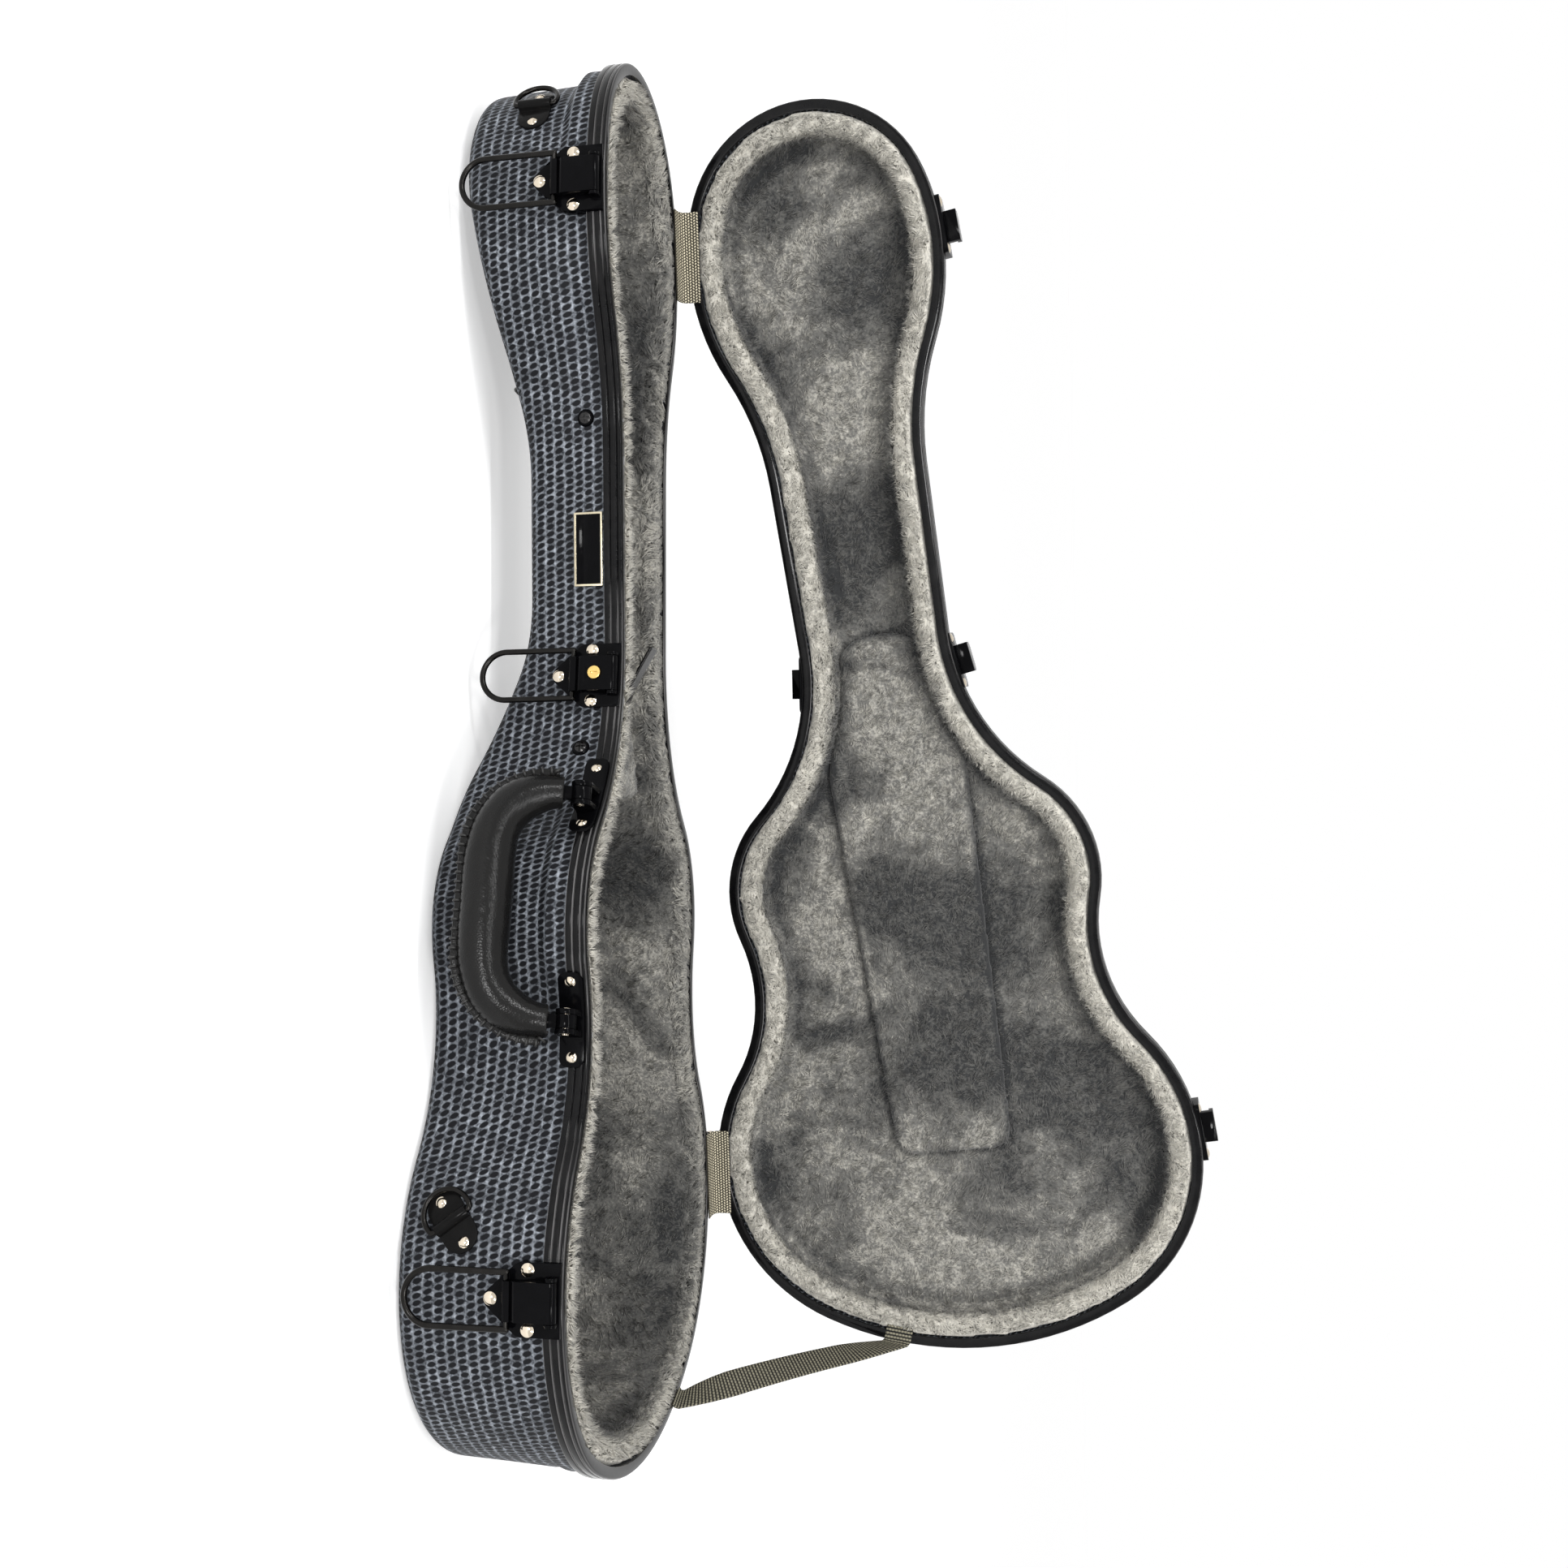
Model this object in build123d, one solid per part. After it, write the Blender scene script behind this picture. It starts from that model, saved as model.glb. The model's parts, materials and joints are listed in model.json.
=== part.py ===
from build123d import *
from collections import namedtuple
from math import asin, atan2, cos, pi, radians, sin, sqrt, tan
import os

# Ukulele hard case, tenor size, lying on its back with the lid standing open.
# Millimetres. X runs from the head end to the tail end, Y from the handle side
# to the hinge side, and Z up. The origin is on the flat of the back, under the body.

# Whole case
case_length = 740.0
rest_from_head = 560.0
base_depth = 84.0
lid_depth = 28.0
closing_gap = 0.4
open_angle = 87.0

# Plan outline, distances from the head end and half widths
head_end_radius = 72.6
head_side_radius = 135.0
head_half = 75.0
neck_stations = (200.0, 340.0)
neck_halves = (46.7, 44.0)
head_neck_fillet = 164.0
neck_bout_fillet = 118.5
upper_bout = (458.6, 111.1, 70.2)
waist_radius = 92.2
lower_bout = (624.7, 145.1, 105.0)

# Shell and its edge moulding
shell_wall = 3.4
edging_height = 10.0
edging_width = 6.0
edging_round = 0.8
edging_cover = 1.6
edging_grooves = (2.6, 6.4)
edging_groove_width = 1.0
edging_groove_depth = 0.8
shell_edge_inset = 2.6
ledge_height = 20.0
ledge_slope = 6.0
end_step = 5.5
end_step_radius = 69.0
tail_step = 6.0
bout_step = 5.0
wall_inset = 3.3
wall_draft = 3.0
lid_draft = 1.0
back_corner = 11.0
lid_corner = 12.0

# Raised arch under the neck, as (distance from the head end, height) pairs
head_lift = 4.5
arch_points = ((-30.0, 4.5), (72.0, 4.5), (206.0, 31.0), (310.0, 31.0), (394.0, 0.0), (790.0, 0.0))
arch_radii = (190.0, 220.0, 120.0, 90.0)

# Padding
lining_edge = 18.5
lining_drop = 0.9
floor_pad = 6.0
neck_floor_pad = 4.0
lid_floor_pad = 4.5
roll_width = 19.0
roll_radius = 7.0
body_cavity_from = 392.0
head_cavity_to = 200.0
neck_rest_depth = 16.0
block_round = 9.0

# Accessory compartment under the neck
box_from, box_to = 232.0, 366.0
box_half = 20.5
box_lid_thickness = 4.0
box_ledge = 3.0
box_floor = 44.0
box_clearance = 0.4
tab_width = 12.0
tab_thickness = 1.6
tab_stations = (363.0, 351.0, 311.0)
tab_rise = 20.0

# Tongue shaped pad in the lid
tongue_from, tongue_middle, tongue_to = 308.0, 390.0, 624.0
tongue_halves = (24.0, 42.0, 35.0)
tongue_thickness = 6.0
tongue_corner = 12.0

# Hinges
hinge_from_head = (72.0, 618.0)
hinge_half = 24.0
hinge_standoff = 4.5
barrel_radius = 2.9
barrel_gap = 0.3
hinge_pin_radius = 1.5
running_gap = 0.08
leaf_thickness = 1.2
leaf_height = 9.4
leaf_step = 0.3
knuckle_web = 2.4

# Webbing
hinge_webbing_half = 26.0
webbing_thickness = 0.9
strap_width = 19.0
strap_ends = ((731.0, 62.0), (734.0, 50.0))

# Latches, as name, distance from the head end, side of the case
latch_places = (("head", 85.5, -1), ("neck", 331.0, -1), ("tail", 620.5, -1), ("rear", 331.0, 1))
plate_half = 16.5
plate_face = 1.7
plate_shoulder = -21.0
plate_tip = -34.0
plate_tip_radius = 5.2
plate_top = -0.8
plate_depth = 5.6
plate_shoulder_round = 6.0
lever_half = 9.0
lever_axis = -4.4
lever_radius = 2.75
lever_wall = 1.2
lever_flat = -20.5
latch_gap = 0.1
lever_open = 110.0
bail_axis = -25.0
bail_half = 12.6
bail_wire = 1.5
bail_length = 50.0
bail_barrel = 2.0
ear_thickness = 1.6
side_gap = 0.25
trunnion_radius = 1.2
latch_pin_radius = 1.0
rivet_head = (3.1, 1.1)
latch_rivets = ((-13.2, -16.0), (13.2, -16.0), (0.0, -33.6))
lock_place = -12.9
lock_radius = 3.3
lock_proud = 0.8
lock_cam = (2.4, 4.4, 1.4)
keyway = (0.9, 3.6, 1.2)

# Catches on the lid
catch_half = 8.75
catch_reach = 8.6
catch_top = 24.0
catch_foot = 13.0
catch_plate = (1.2, 22.0)
catch_gap = 0.25
catch_rivets = ((-13.2, 7.5), (13.2, 7.5))

# Handle
handle_ends = (393.0, 500.0)
handle_end_offsets = (90.6, 115.6)
handle_drop = 8.0
handle_lean = 19.0
handle_reach = 41.0
grip_start = 8.5
grip_radius = 12.4
arm_radius = 9.2
grip_end_radius = 8.0
seam_thickness = 2.2
seam_proud = 3.4
seam_start = 11.0
grip_stations = (0.0, 0.1, 0.22, 0.36, 0.5, 0.64, 0.78, 0.9, 1.0)
grip_corner = 30.0
eye_half = 3.2
eye_radius = 5.0
handle_pin_radius = 2.0
eye_tongue = 17.0
lug_thickness = 2.4
lug_reach = 26.0
mount_rivets = ((379.0, 406.5), (482.0, 517.5))
mount_margin = 4.6
mount_height = 12.0
mount_thickness = 1.6
mount_rivet_head = (2.6, 1.1)

# Strap rings. Each place is a name, a distance from the head end, a height from the rim
# and the turn of its plate in the wall. The last lies on the back, on the centreline.
ring_places = (("head", 37.5, -43.0, 180.0), ("side", 590.0, -56.0, 218.0))
back_ring_place = 178.0
ring_radius = 11.2
ring_wire = 1.3
ring_chord = 4.0
ring_corner = 2.0
ring_plate = (17.0, 31.0, 1.2)
ring_rivet_reach = 11.0
ring_rivet_head = (2.6, 1.1)
ring_hump = 2.8
ring_clearance = 0.1
back_ring_hang = 35.0

# Screws through the side walls into the neck block, and the bare name plate
screw_places = (197.6, 368.3)
screw_height = -19.5
washer_radius = 4.6
washer_height = 1.3
screw_head = (2.9, 0.9)
name_plate = (265.3, 38.0, 15.0)
name_plate_thickness = 1.3
name_plate_border = 1.0
name_plate_height = -18.6


def x_at(from_head):
    """Distance from the head end, in the case's own frame."""
    return from_head - rest_from_head


rim_z = base_depth
Plan = namedtuple("Plan", "start end head_end bout_half")
rim_plan = Plan(0.0, case_length, head_end_radius, upper_bout[1])
wall_plan = Plan(end_step, case_length - tail_step, end_step_radius, upper_bout[1] - bout_step)


def polar(centre, radius, angle):
    return (centre[0] + radius * cos(angle), centre[1] + radius * sin(angle))


def heading(start, end):
    return atan2(end[1] - start[1], end[0] - start[0])


def crossing(centre_a, radius_a, centre_b, radius_b):
    """The upper point where two circles cross."""
    span = sqrt((centre_b[0] - centre_a[0]) ** 2 + (centre_b[1] - centre_a[1]) ** 2)
    along = (span**2 + radius_a**2 - radius_b**2) / (2 * span)
    off = sqrt(radius_a**2 - along**2)
    turn = heading(centre_a, centre_b)
    x = centre_a[0] + along * cos(turn) - off * sin(turn)
    y = centre_a[1] + along * sin(turn) + off * cos(turn)
    return (x, y)


def beside_line(point, turn, centre, reach, forward):
    """The point on a line at a given reach from a centre, ahead of it or behind it."""
    dx, dy = point[0] - centre[0], point[1] - centre[1]
    back = dx * cos(turn) + dy * sin(turn)
    root = sqrt(back**2 - dx**2 - dy**2 + reach**2)
    step = -back + (root if forward else -root)
    return (point[0] + step * cos(turn), point[1] + step * sin(turn))


def half_plan(plan, grow):
    """Arcs of the hinge side of the outline, head to tail: centre, radius, start and end angle.

    The neck is the one straight run, given as its two end points."""
    head = (plan.start + plan.head_end, 0.0)
    side_y = head_half - head_side_radius
    side_x = head[0] + sqrt((head_side_radius - plan.head_end) ** 2 - side_y**2)
    side = (side_x, side_y)
    bout = (upper_bout[0], plan.bout_half - upper_bout[2])
    low = (lower_bout[0], lower_bout[1] - lower_bout[2])
    tail_run = plan.end - low[0]
    tail_radius = (tail_run**2 + low[1] ** 2 - lower_bout[2] ** 2) / (2 * (tail_run - lower_bout[2]))
    tail = (plan.end - tail_radius, 0.0)
    r_head, r_side = plan.head_end + grow, head_side_radius + grow
    r_bout, r_low, r_tail = upper_bout[2] + grow, lower_bout[2] + grow, tail_radius + grow
    r_in, r_out, r_waist = head_neck_fillet - grow, neck_bout_fillet - grow, waist_radius - grow
    turn = atan2(neck_halves[1] - neck_halves[0], neck_stations[1] - neck_stations[0])
    square = turn + pi / 2
    neck = polar((neck_stations[0], neck_halves[0]), grow, square)
    c_in = beside_line(polar(neck, r_in, square), turn, side, r_side + r_in, True)
    c_out = beside_line(polar(neck, r_out, square), turn, bout, r_bout + r_out, False)
    c_waist = crossing(bout, r_bout + r_waist, low, r_low + r_waist)
    flat = square - pi
    return [
        (head, r_head, pi, heading(side, head)),
        (side, r_side, heading(side, head), heading(side, c_in)),
        (c_in, r_in, heading(c_in, side), flat),
        (polar(c_in, r_in, flat), polar(c_out, r_out, flat)),
        (c_out, r_out, flat, heading(c_out, bout)),
        (bout, r_bout, heading(bout, c_out), heading(bout, c_waist)),
        (c_waist, r_waist, heading(c_waist, bout), heading(c_waist, low)),
        (low, r_low, heading(low, c_waist), heading(tail, low)),
        (tail, r_tail, heading(tail, low), 0.0),
    ]


def outline(plan, grow, z):
    """The closed plan outline, grown outwards by a distance, at a height."""

    def place(point, side=1):
        return Vector(x_at(point[0]), side * point[1], z)

    def piece(item, side=1):
        if len(item) == 2:
            return Line(place(item[0], side), place(item[1], side))
        centre, radius, start, end = item
        angles = (start, (start + end) / 2, end)
        return ThreePointArc(*[place(polar(centre, radius, a), side) for a in angles])

    arcs = half_plan(plan, grow)
    head, tail = arcs[0], arcs[-1]
    flanks = arcs[1:-1]
    head_arc = piece((head[0], head[1], 2 * pi - head[3], head[3]))
    tail_arc = piece((tail[0], tail[1], tail[2], -tail[2]))
    edges = [head_arc] + [piece(a) for a in flanks] + [tail_arc]
    edges += [piece(a, -1) for a in reversed(flanks)]
    return Wire(edges)


def edge_at(from_head, plan, grow):
    """Half width of an outline at a distance from the head end, and the turn of its wall."""
    for item in half_plan(plan, grow):
        if len(item) == 2:
            (x0, y0), (x1, y1) = item
            if x0 <= from_head <= x1:
                return y0 + (from_head - x0) * (y1 - y0) / (x1 - x0), atan2(y1 - y0, x1 - x0)
            continue
        centre, radius, start, end = item
        x0, x1 = sorted((polar(centre, radius, start)[0], polar(centre, radius, end)[0]))
        if x0 <= from_head <= x1:
            sign = 1 if sin((start + end) / 2) > 0 else -1
            rise = sqrt(radius**2 - (from_head - centre[0]) ** 2)
            return centre[1] + sign * rise, atan2(-sign * (from_head - centre[0]), rise)
    raise ValueError("beyond the ends of the case")


def wall_plane(from_head, side, height=0.0, plan=rim_plan, grow=0.0):
    """A plane on a wall's outer face: x along the wall, y up, z out. It starts on the rim's face."""
    half, turn = edge_at(from_head, plan, grow)
    out = Vector(-sin(turn), side * cos(turn), 0)
    along = Vector(0, 0, 1).cross(out)
    return Plane(origin=(x_at(from_head), side * half, rim_z + height), x_dir=along, z_dir=out)


def ruled(sections):
    """A solid with straight walls from one outline to the next."""
    return Solid.make_loft([outline(*s) for s in sections], ruled=True)


def slab(x0, x1, half, z0, z1):
    """A box across the centreline, from one distance from the head end to another."""
    box = Box(x1 - x0, 2 * half, z1 - z0)
    return Pos(x_at((x0 + x1) / 2), 0, (z0 + z1) / 2) * box


def arch_block(lift, top):
    """All that lies above the arched back, raised by a lining or wall thickness."""
    points = [(x_at(x), z + lift) for x, z in arch_points]
    back = FilletPolyline(*points, radius=list(arch_radii))
    close = Polyline(points[-1], (points[-1][0], top), (points[0][0], top), points[0])
    face = Plane.XZ * make_face([*back.edges(), *close.edges()])
    return extrude(face, amount=200, both=True)


def back_edges(body):
    """The edges where the side walls meet the back."""
    walls = [f for f in body.faces() if abs(f.normal_at(f.center()).Z) < 0.3]
    backs = [f for f in body.faces() if f.normal_at(f.center()).Z < -0.8]
    below = {e for f in backs for e in f.edges()}
    return [e for f in walls for e in f.edges() if e in below]


def room(inset, top):
    """The base's outer form at an inset from its face: walls, ledge, arched back, rounded corner."""
    ledge = rim_z - ledge_height
    sections = [
        (rim_plan, -shell_edge_inset - inset, top),
        (rim_plan, -shell_edge_inset - inset, ledge),
        (wall_plan, -wall_inset - inset, ledge - ledge_slope),
        (wall_plan, -wall_inset - wall_draft - inset, -ledge_slope),
    ]
    body = (ruled(sections) & arch_block(inset, top + 1)).solid()
    return fillet(back_edges(body), back_corner - inset)


def cavity():
    """The open space of the base over its floor padding, head to tail."""
    well = ruled([(rim_plan, -lining_edge, 0), (rim_plan, -lining_edge, rim_z + 5)])
    return (well & arch_block(shell_wall + floor_pad, rim_z + 6)).solid()


def base_shell():
    top = rim_z - edging_cover
    return room(0, top) - room(shell_wall, top)


def mouth_edges(body, z):
    """The edges round the mouth of a padding's flat top."""
    tops = [f for f in body.faces() if abs(f.center().Z - z) < 0.01 and abs(f.normal_at(f.center()).Z) > 0.9]
    return [e for w in tops[0].inner_wires() for e in w.edges()]


def base_lining():
    top = rim_z - lining_drop
    padding = (room(shell_wall, top) - cavity()).solid()
    return fillet(mouth_edges(padding, top), roll_radius)


rest_z = rim_z - neck_rest_depth


def neck_block():
    """The foam block that the neck lies on, with its ends rounded over and a pocket in it."""
    block = (cavity() & slab(head_cavity_to, body_cavity_from, 60, 0, rest_z)).solid()
    tops = block.edges().filter_by(Axis.Y).filter_by_position(Axis.Z, rest_z - 0.1, rest_z + 0.1)
    block = fillet(tops, block_round)
    seat = slab(box_from, box_to, box_half, rest_z - box_lid_thickness, rest_z + 1)
    pocket = slab(box_from + box_ledge, box_to - box_ledge, box_half - box_ledge, box_floor, rest_z)
    return block - seat - pocket


def box_lid():
    """The lid of the accessory compartment, flush with the block round it."""
    gap = box_clearance
    low = rest_z - box_lid_thickness + gap
    lid = slab(box_from + gap, box_to - gap, box_half - gap, low, rest_z)
    return fillet(lid.edges().filter_by(Axis.Z), 3.0)


def pull_tab():
    """A leather tab stitched flat to the compartment lid's body end, then rising towards the head."""
    foot, bend, tip = tab_stations
    slope = atan2(tab_rise, bend - tip)
    t = tab_thickness
    under = [(foot, 0), (bend, 0), (tip, tab_rise)]
    over = [(tip + t * sin(slope), tab_rise + t * cos(slope)), (bend + t * tan(slope / 2), t), (foot, t)]
    points = [(x_at(x), rest_z + z) for x, z in under + over]
    strip = extrude(Plane.XZ * make_face(Polyline(*points, close=True)), tab_width / 2, both=True)
    corners = strip.edges().filter_by(lambda e: abs(e.length - t) < 0.01).sort_by(Axis.X)
    return fillet(corners[:2], tab_width / 2 - 0.5)


def edging(up):
    """The plastic moulding round a rim. It hangs from the parting plane, or stands on it for up 1."""
    parting = rim_z + (closing_gap if up > 0 else 0)

    def at(height):
        return parting + up * height

    outer = [(rim_plan, -edging_round, at(0)), (rim_plan, 0, at(edging_round))]
    half = edging_groove_width / 2
    for middle in edging_grooves:
        outer.append((rim_plan, 0, at(middle - half)))
        outer.append((rim_plan, -edging_groove_depth, at(middle)))
        outer.append((rim_plan, 0, at(middle + half)))
    outer.append((rim_plan, 0, at(edging_height)))
    inner, cover = -shell_edge_inset, -edging_width
    seat = [(rim_plan, inner, at(edging_cover)), (rim_plan, inner, at(edging_height + 1))]
    mouth = [(rim_plan, cover, at(-1)), (rim_plan, cover, at(edging_cover + 1))]
    return ruled(outer) - ruled(seat) - ruled(mouth)


lid_foot = rim_z + closing_gap
lid_roof = lid_foot + lid_depth - shell_wall - lid_floor_pad


def lid_room(inset, foot):
    """The closed lid's outer form at an inset from its face, from a height up."""
    top = lid_foot + lid_depth - inset
    sections = [
        (rim_plan, -shell_edge_inset - inset, foot),
        (rim_plan, -shell_edge_inset - lid_draft - inset, top),
    ]
    body = ruled(sections)
    edges = [e for e in body.edges() if abs(e.center().Z - top) < 0.01]
    return fillet(edges, lid_corner - inset)


def lid_shell():
    foot = lid_foot + edging_cover
    return lid_room(0, foot) - lid_room(shell_wall, foot)


def lid_lining():
    """The padded roll round the lid's mouth and the padding on its floor."""
    low = lid_foot + lining_drop
    well = ruled([(rim_plan, -roll_width, low - 5), (rim_plan, -roll_width, lid_roof)])
    padding = (lid_room(shell_wall, low) - well).solid()
    return fillet(mouth_edges(padding, low), roll_radius)


def lid_center_pad():
    """The tongue shaped pad on the lid's floor, rounded at its neck end."""
    neck, wide, tail = tongue_halves
    points = [(tongue_to, tail), (tongue_middle, wide), (tongue_from, neck)]
    points += [(x, -y) for x, y in reversed(points)]
    face = make_face(Polyline(*[(x_at(x), y) for x, y in points], close=True))
    low = lid_roof - tongue_thickness
    well = ruled([(rim_plan, -roll_width - 1, low - 5), (rim_plan, -roll_width - 1, lid_roof + 5)])
    pad = extrude(Pos(0, 0, low) * face, tongue_thickness)
    uprights = pad.edges().filter_by(Axis.Z).sort_by(Axis.X)
    pad = fillet(uprights[:2], neck - 0.5)
    uprights = pad.edges().filter_by(Axis.Z).sort_by(Axis.X)
    pad = (fillet(uprights[-2:], tongue_corner) & well).solid()
    return fillet([e for e in pad.edges() if abs(e.center().Z - low) < 0.01], tongue_thickness - 1.5)


def hinge_axis():
    """A point on the hinge axis as seen from above, and the turn of the axis."""
    arcs = half_plan(rim_plan, 0.0)
    (head, r_head), (low, r_low) = arcs[1][:2], arcs[7][:2]
    span = sqrt((low[0] - head[0]) ** 2 + (low[1] - head[1]) ** 2)
    turn = heading(head, low) - asin((r_head - r_low) / span)
    return polar(head, r_head + hinge_standoff, turn + pi / 2), turn


axis_z = rim_z + closing_gap / 2


def hinge_plane(from_head):
    """A plane on the hinge axis: x along it, y outwards, z up."""
    (x, y), turn = hinge_axis()
    step = from_head - x
    origin = (x_at(from_head), y + step * tan(turn), axis_z)
    return Plane(origin=origin, x_dir=(cos(turn), sin(turn), 0), z_dir=(0, 0, 1))


def opened(shape):
    """A piece of the lid, turned from the closed place to the open one."""
    plane = hinge_plane(hinge_from_head[0])
    return shape.rotate(Axis(plane.origin, plane.x_dir), -open_angle)


def hinge_leaf(from_head, up, skin, body):
    """A leaf that follows the moulding, with its knuckles and their webs. The lid has the middle one."""
    third = 2 * hinge_half / 3
    spots = [0] if up > 0 else [-third, third]
    length = third - barrel_gap
    web_z = up * (leaf_step + knuckle_web / 2)
    leaf = Pos(0, -20, up * (leaf_step + leaf_height / 2)) * Box(2 * hinge_half, 40, leaf_height)
    plane = hinge_plane(from_head)
    solid = (plane * leaf) & skin
    bore = hinge_pin_radius + (running_gap if up > 0 else 0)
    for spot in spots:
        barrel = Pos(spot, 0, 0) * Rot(0, 90, 0) * Cylinder(barrel_radius, length)
        web = Pos(spot, -8, web_z) * Box(length, 16, knuckle_web)
        solid += plane * (barrel + web) - body
    return solid - plane * (Rot(0, 90, 0) * Cylinder(bore, 3 * hinge_half))


def hinge_leaves(up):
    """Both hinges' leaves on the base, or on the lid for up 1."""
    parting = rim_z if up < 0 else lid_foot
    span = sorted((parting, parting + up * edging_height))
    body = ruled([(rim_plan, 0, span[0] - 1), (rim_plan, 0, span[1] + 1)])
    cover = ruled([(rim_plan, leaf_thickness, span[0]), (rim_plan, leaf_thickness, span[1])])
    return [hinge_leaf(x, up, cover - body, body) for x in hinge_from_head]


def hinge_pins():
    pin = Rot(0, 90, 0) * Cylinder(hinge_pin_radius, 2 * hinge_half + 1)
    return [hinge_plane(x) * pin for x in hinge_from_head]


def ribbon(points, thickness, width, radius):
    """A flat band of even thickness along a bent line in the XY plane, standing up along Z."""
    line = FilletPolyline(*points, radius=radius)
    return extrude(trace(line, thickness), width / 2, both=True)


def hinge_webbing(from_head):
    """Webbing from the base's rim, across the gap of the open hinge, and up the lid's rim."""
    reach = hinge_standoff + edging_width + 1.5
    rim = rim_z - axis_z + webbing_thickness / 2 + 0.05
    face = -webbing_thickness / 2 - 0.15
    points = [(-reach, rim), (-hinge_standoff, rim), (face, hinge_standoff), (face - 0.4, reach)]
    side = hinge_plane(from_head)
    upright = Plane(origin=side.origin, x_dir=side.y_dir, z_dir=side.x_dir)
    return upright * ribbon(points, webbing_thickness, 2 * hinge_webbing_half, 1.6)


def stay_strap():
    """The strap that stops the open lid, pulled straight from the base's tail rim to the lid's."""
    (x0, y0), (x1, y1) = strap_ends
    low = Vector(x_at(x0), y0, rim_z + webbing_thickness)
    high = opened(Vertex(x_at(x1), y1, lid_foot - webbing_thickness)).center()
    along = (high - low).normalized()
    across = Vector(1, 0, 0) - along * along.X
    middle = (low + high) / 2
    plane = Plane(origin=middle, x_dir=along, z_dir=along.cross(across))
    return plane * Box((high - low).length, strap_width, webbing_thickness)


def place(name):
    """The wall plane of a latch, by its name."""
    from_head, side = {n: (x, s) for n, x, s in latch_places}[name]
    return wall_plane(from_head, side)


def rivet(radius, height):
    """A low domed rivet head standing on a plane."""
    bulge = (radius**2 + height**2) / (2 * height)
    mid = (bulge * sin(0.5 * asin(radius / bulge)), height - bulge * (1 - cos(0.5 * asin(radius / bulge))))
    dome = ThreePointArc((radius, 0), mid, (0, height))
    face = make_face([Line((0, 0), (radius, 0)), dome, Line((0, height), (0, 0))])
    return revolve(Plane.XZ * face, Axis.Z)


axle_out = plate_face + latch_gap + lever_radius


def latch_ears(at, half, gap):
    """Two upright ears of a latch plate that carry a pin along the wall."""
    x = half + gap + ear_thickness / 2
    ear = Box(ear_thickness, 2 * lever_radius, axle_out) + Pos(0, 0, axle_out / 2) * Rot(0, 90, 0) * Cylinder(
        lever_radius, ear_thickness
    )
    return [Pos(side * x, at, axle_out / 2) * ear for side in (-1, 1)]


def latch_plate(name, shell, moulding):
    """A shield shaped plate, flat in front and filled out to the wall behind, with the lever's ears."""
    points = [
        (-plate_half, plate_top),
        (plate_half, plate_top),
        (plate_half, plate_shoulder),
        (0, plate_tip - plate_tip_radius),
        (-plate_half, plate_shoulder),
    ]
    shield = extrude(make_face(Polyline(*points, close=True)), plate_face + plate_depth)
    uprights = shield.edges().filter_by(Axis.Z).sort_by(Axis.Y)
    shield = fillet(uprights[:1], plate_tip_radius)
    uprights = shield.edges().filter_by(Axis.Z).sort_by(Axis.Y)
    shield = fillet(uprights[2:4], plate_shoulder_round)
    shield = Pos(0, 0, -plate_depth) * shield
    for ear in latch_ears(lever_axis, lever_half, side_gap):
        shield += ear
    pin = Pos(0, lever_axis, axle_out) * Rot(0, 90, 0) * Cylinder(latch_pin_radius, 4 * lever_half)
    return place(name) * (shield - pin) - shell - moulding


def latch_pin(name):
    length = 2 * (lever_half + side_gap + ear_thickness)
    return place(name) * Pos(0, lever_axis, axle_out) * Rot(0, 90, 0) * Cylinder(latch_pin_radius, length)


def lever(name):
    """The latch lever, a pressed hollow box that hinges at the rim and carries the bail at its free end."""
    top = axle_out + lever_radius
    lip = bail_axis + bail_barrel
    points = [
        (lever_axis, top),
        (lever_flat, top),
        (lip, axle_out + 0.6),
        (lip, axle_out - bail_barrel),
        (lever_axis, axle_out - lever_radius),
    ]
    body = extrude(Plane.YZ * make_face(Polyline(*points, close=True)), lever_half, both=True)
    hinge = Pos(0, lever_axis, axle_out) * Rot(0, 90, 0)
    end = Pos(0, bail_axis, axle_out) * Rot(0, 90, 0)
    tongue = Pos(0, (lip + bail_axis) / 2, axle_out) * Box(2 * lever_half, lip - bail_axis, 2 * bail_barrel)
    body += hinge * Cylinder(lever_radius, 2 * lever_half)
    body += end * Cylinder(bail_barrel, 2 * lever_half) + tongue
    low = lever_flat + 0.5
    high = lever_axis - lever_radius - 0.6
    hollow = Box(2 * (lever_half - lever_wall), high - low, top - lever_wall)
    body -= Pos(0, (low + high) / 2, (top - lever_wall) / 2) * hollow
    body -= hinge * Cylinder(latch_pin_radius + running_gap, 4 * lever_half)
    body -= end * Cylinder(trunnion_radius + running_gap, 4 * lever_half)
    if name == "neck":
        body -= Pos(0, lock_place, top) * Cylinder(lock_radius + running_gap, 4 * lever_wall)
    return place(name) * body


def lock_barrel():
    """The key lock in the neck latch's lever, with its keyway and the cam behind."""
    top = axle_out + lever_radius
    low = plate_face + 2 * latch_gap
    height = top + lock_proud - low
    barrel = Pos(0, 0, low + height / 2) * Cylinder(lock_radius, height)
    slot = Pos(0, 0, top + lock_proud) * Box(keyway[0], keyway[1], 2 * keyway[2])
    cam = Pos(0, lock_cam[1] / 2, low + lock_cam[2] / 2) * Box(*lock_cam)
    return place("neck") * Pos(0, lock_place, 0) * (barrel + cam - slot)


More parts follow.
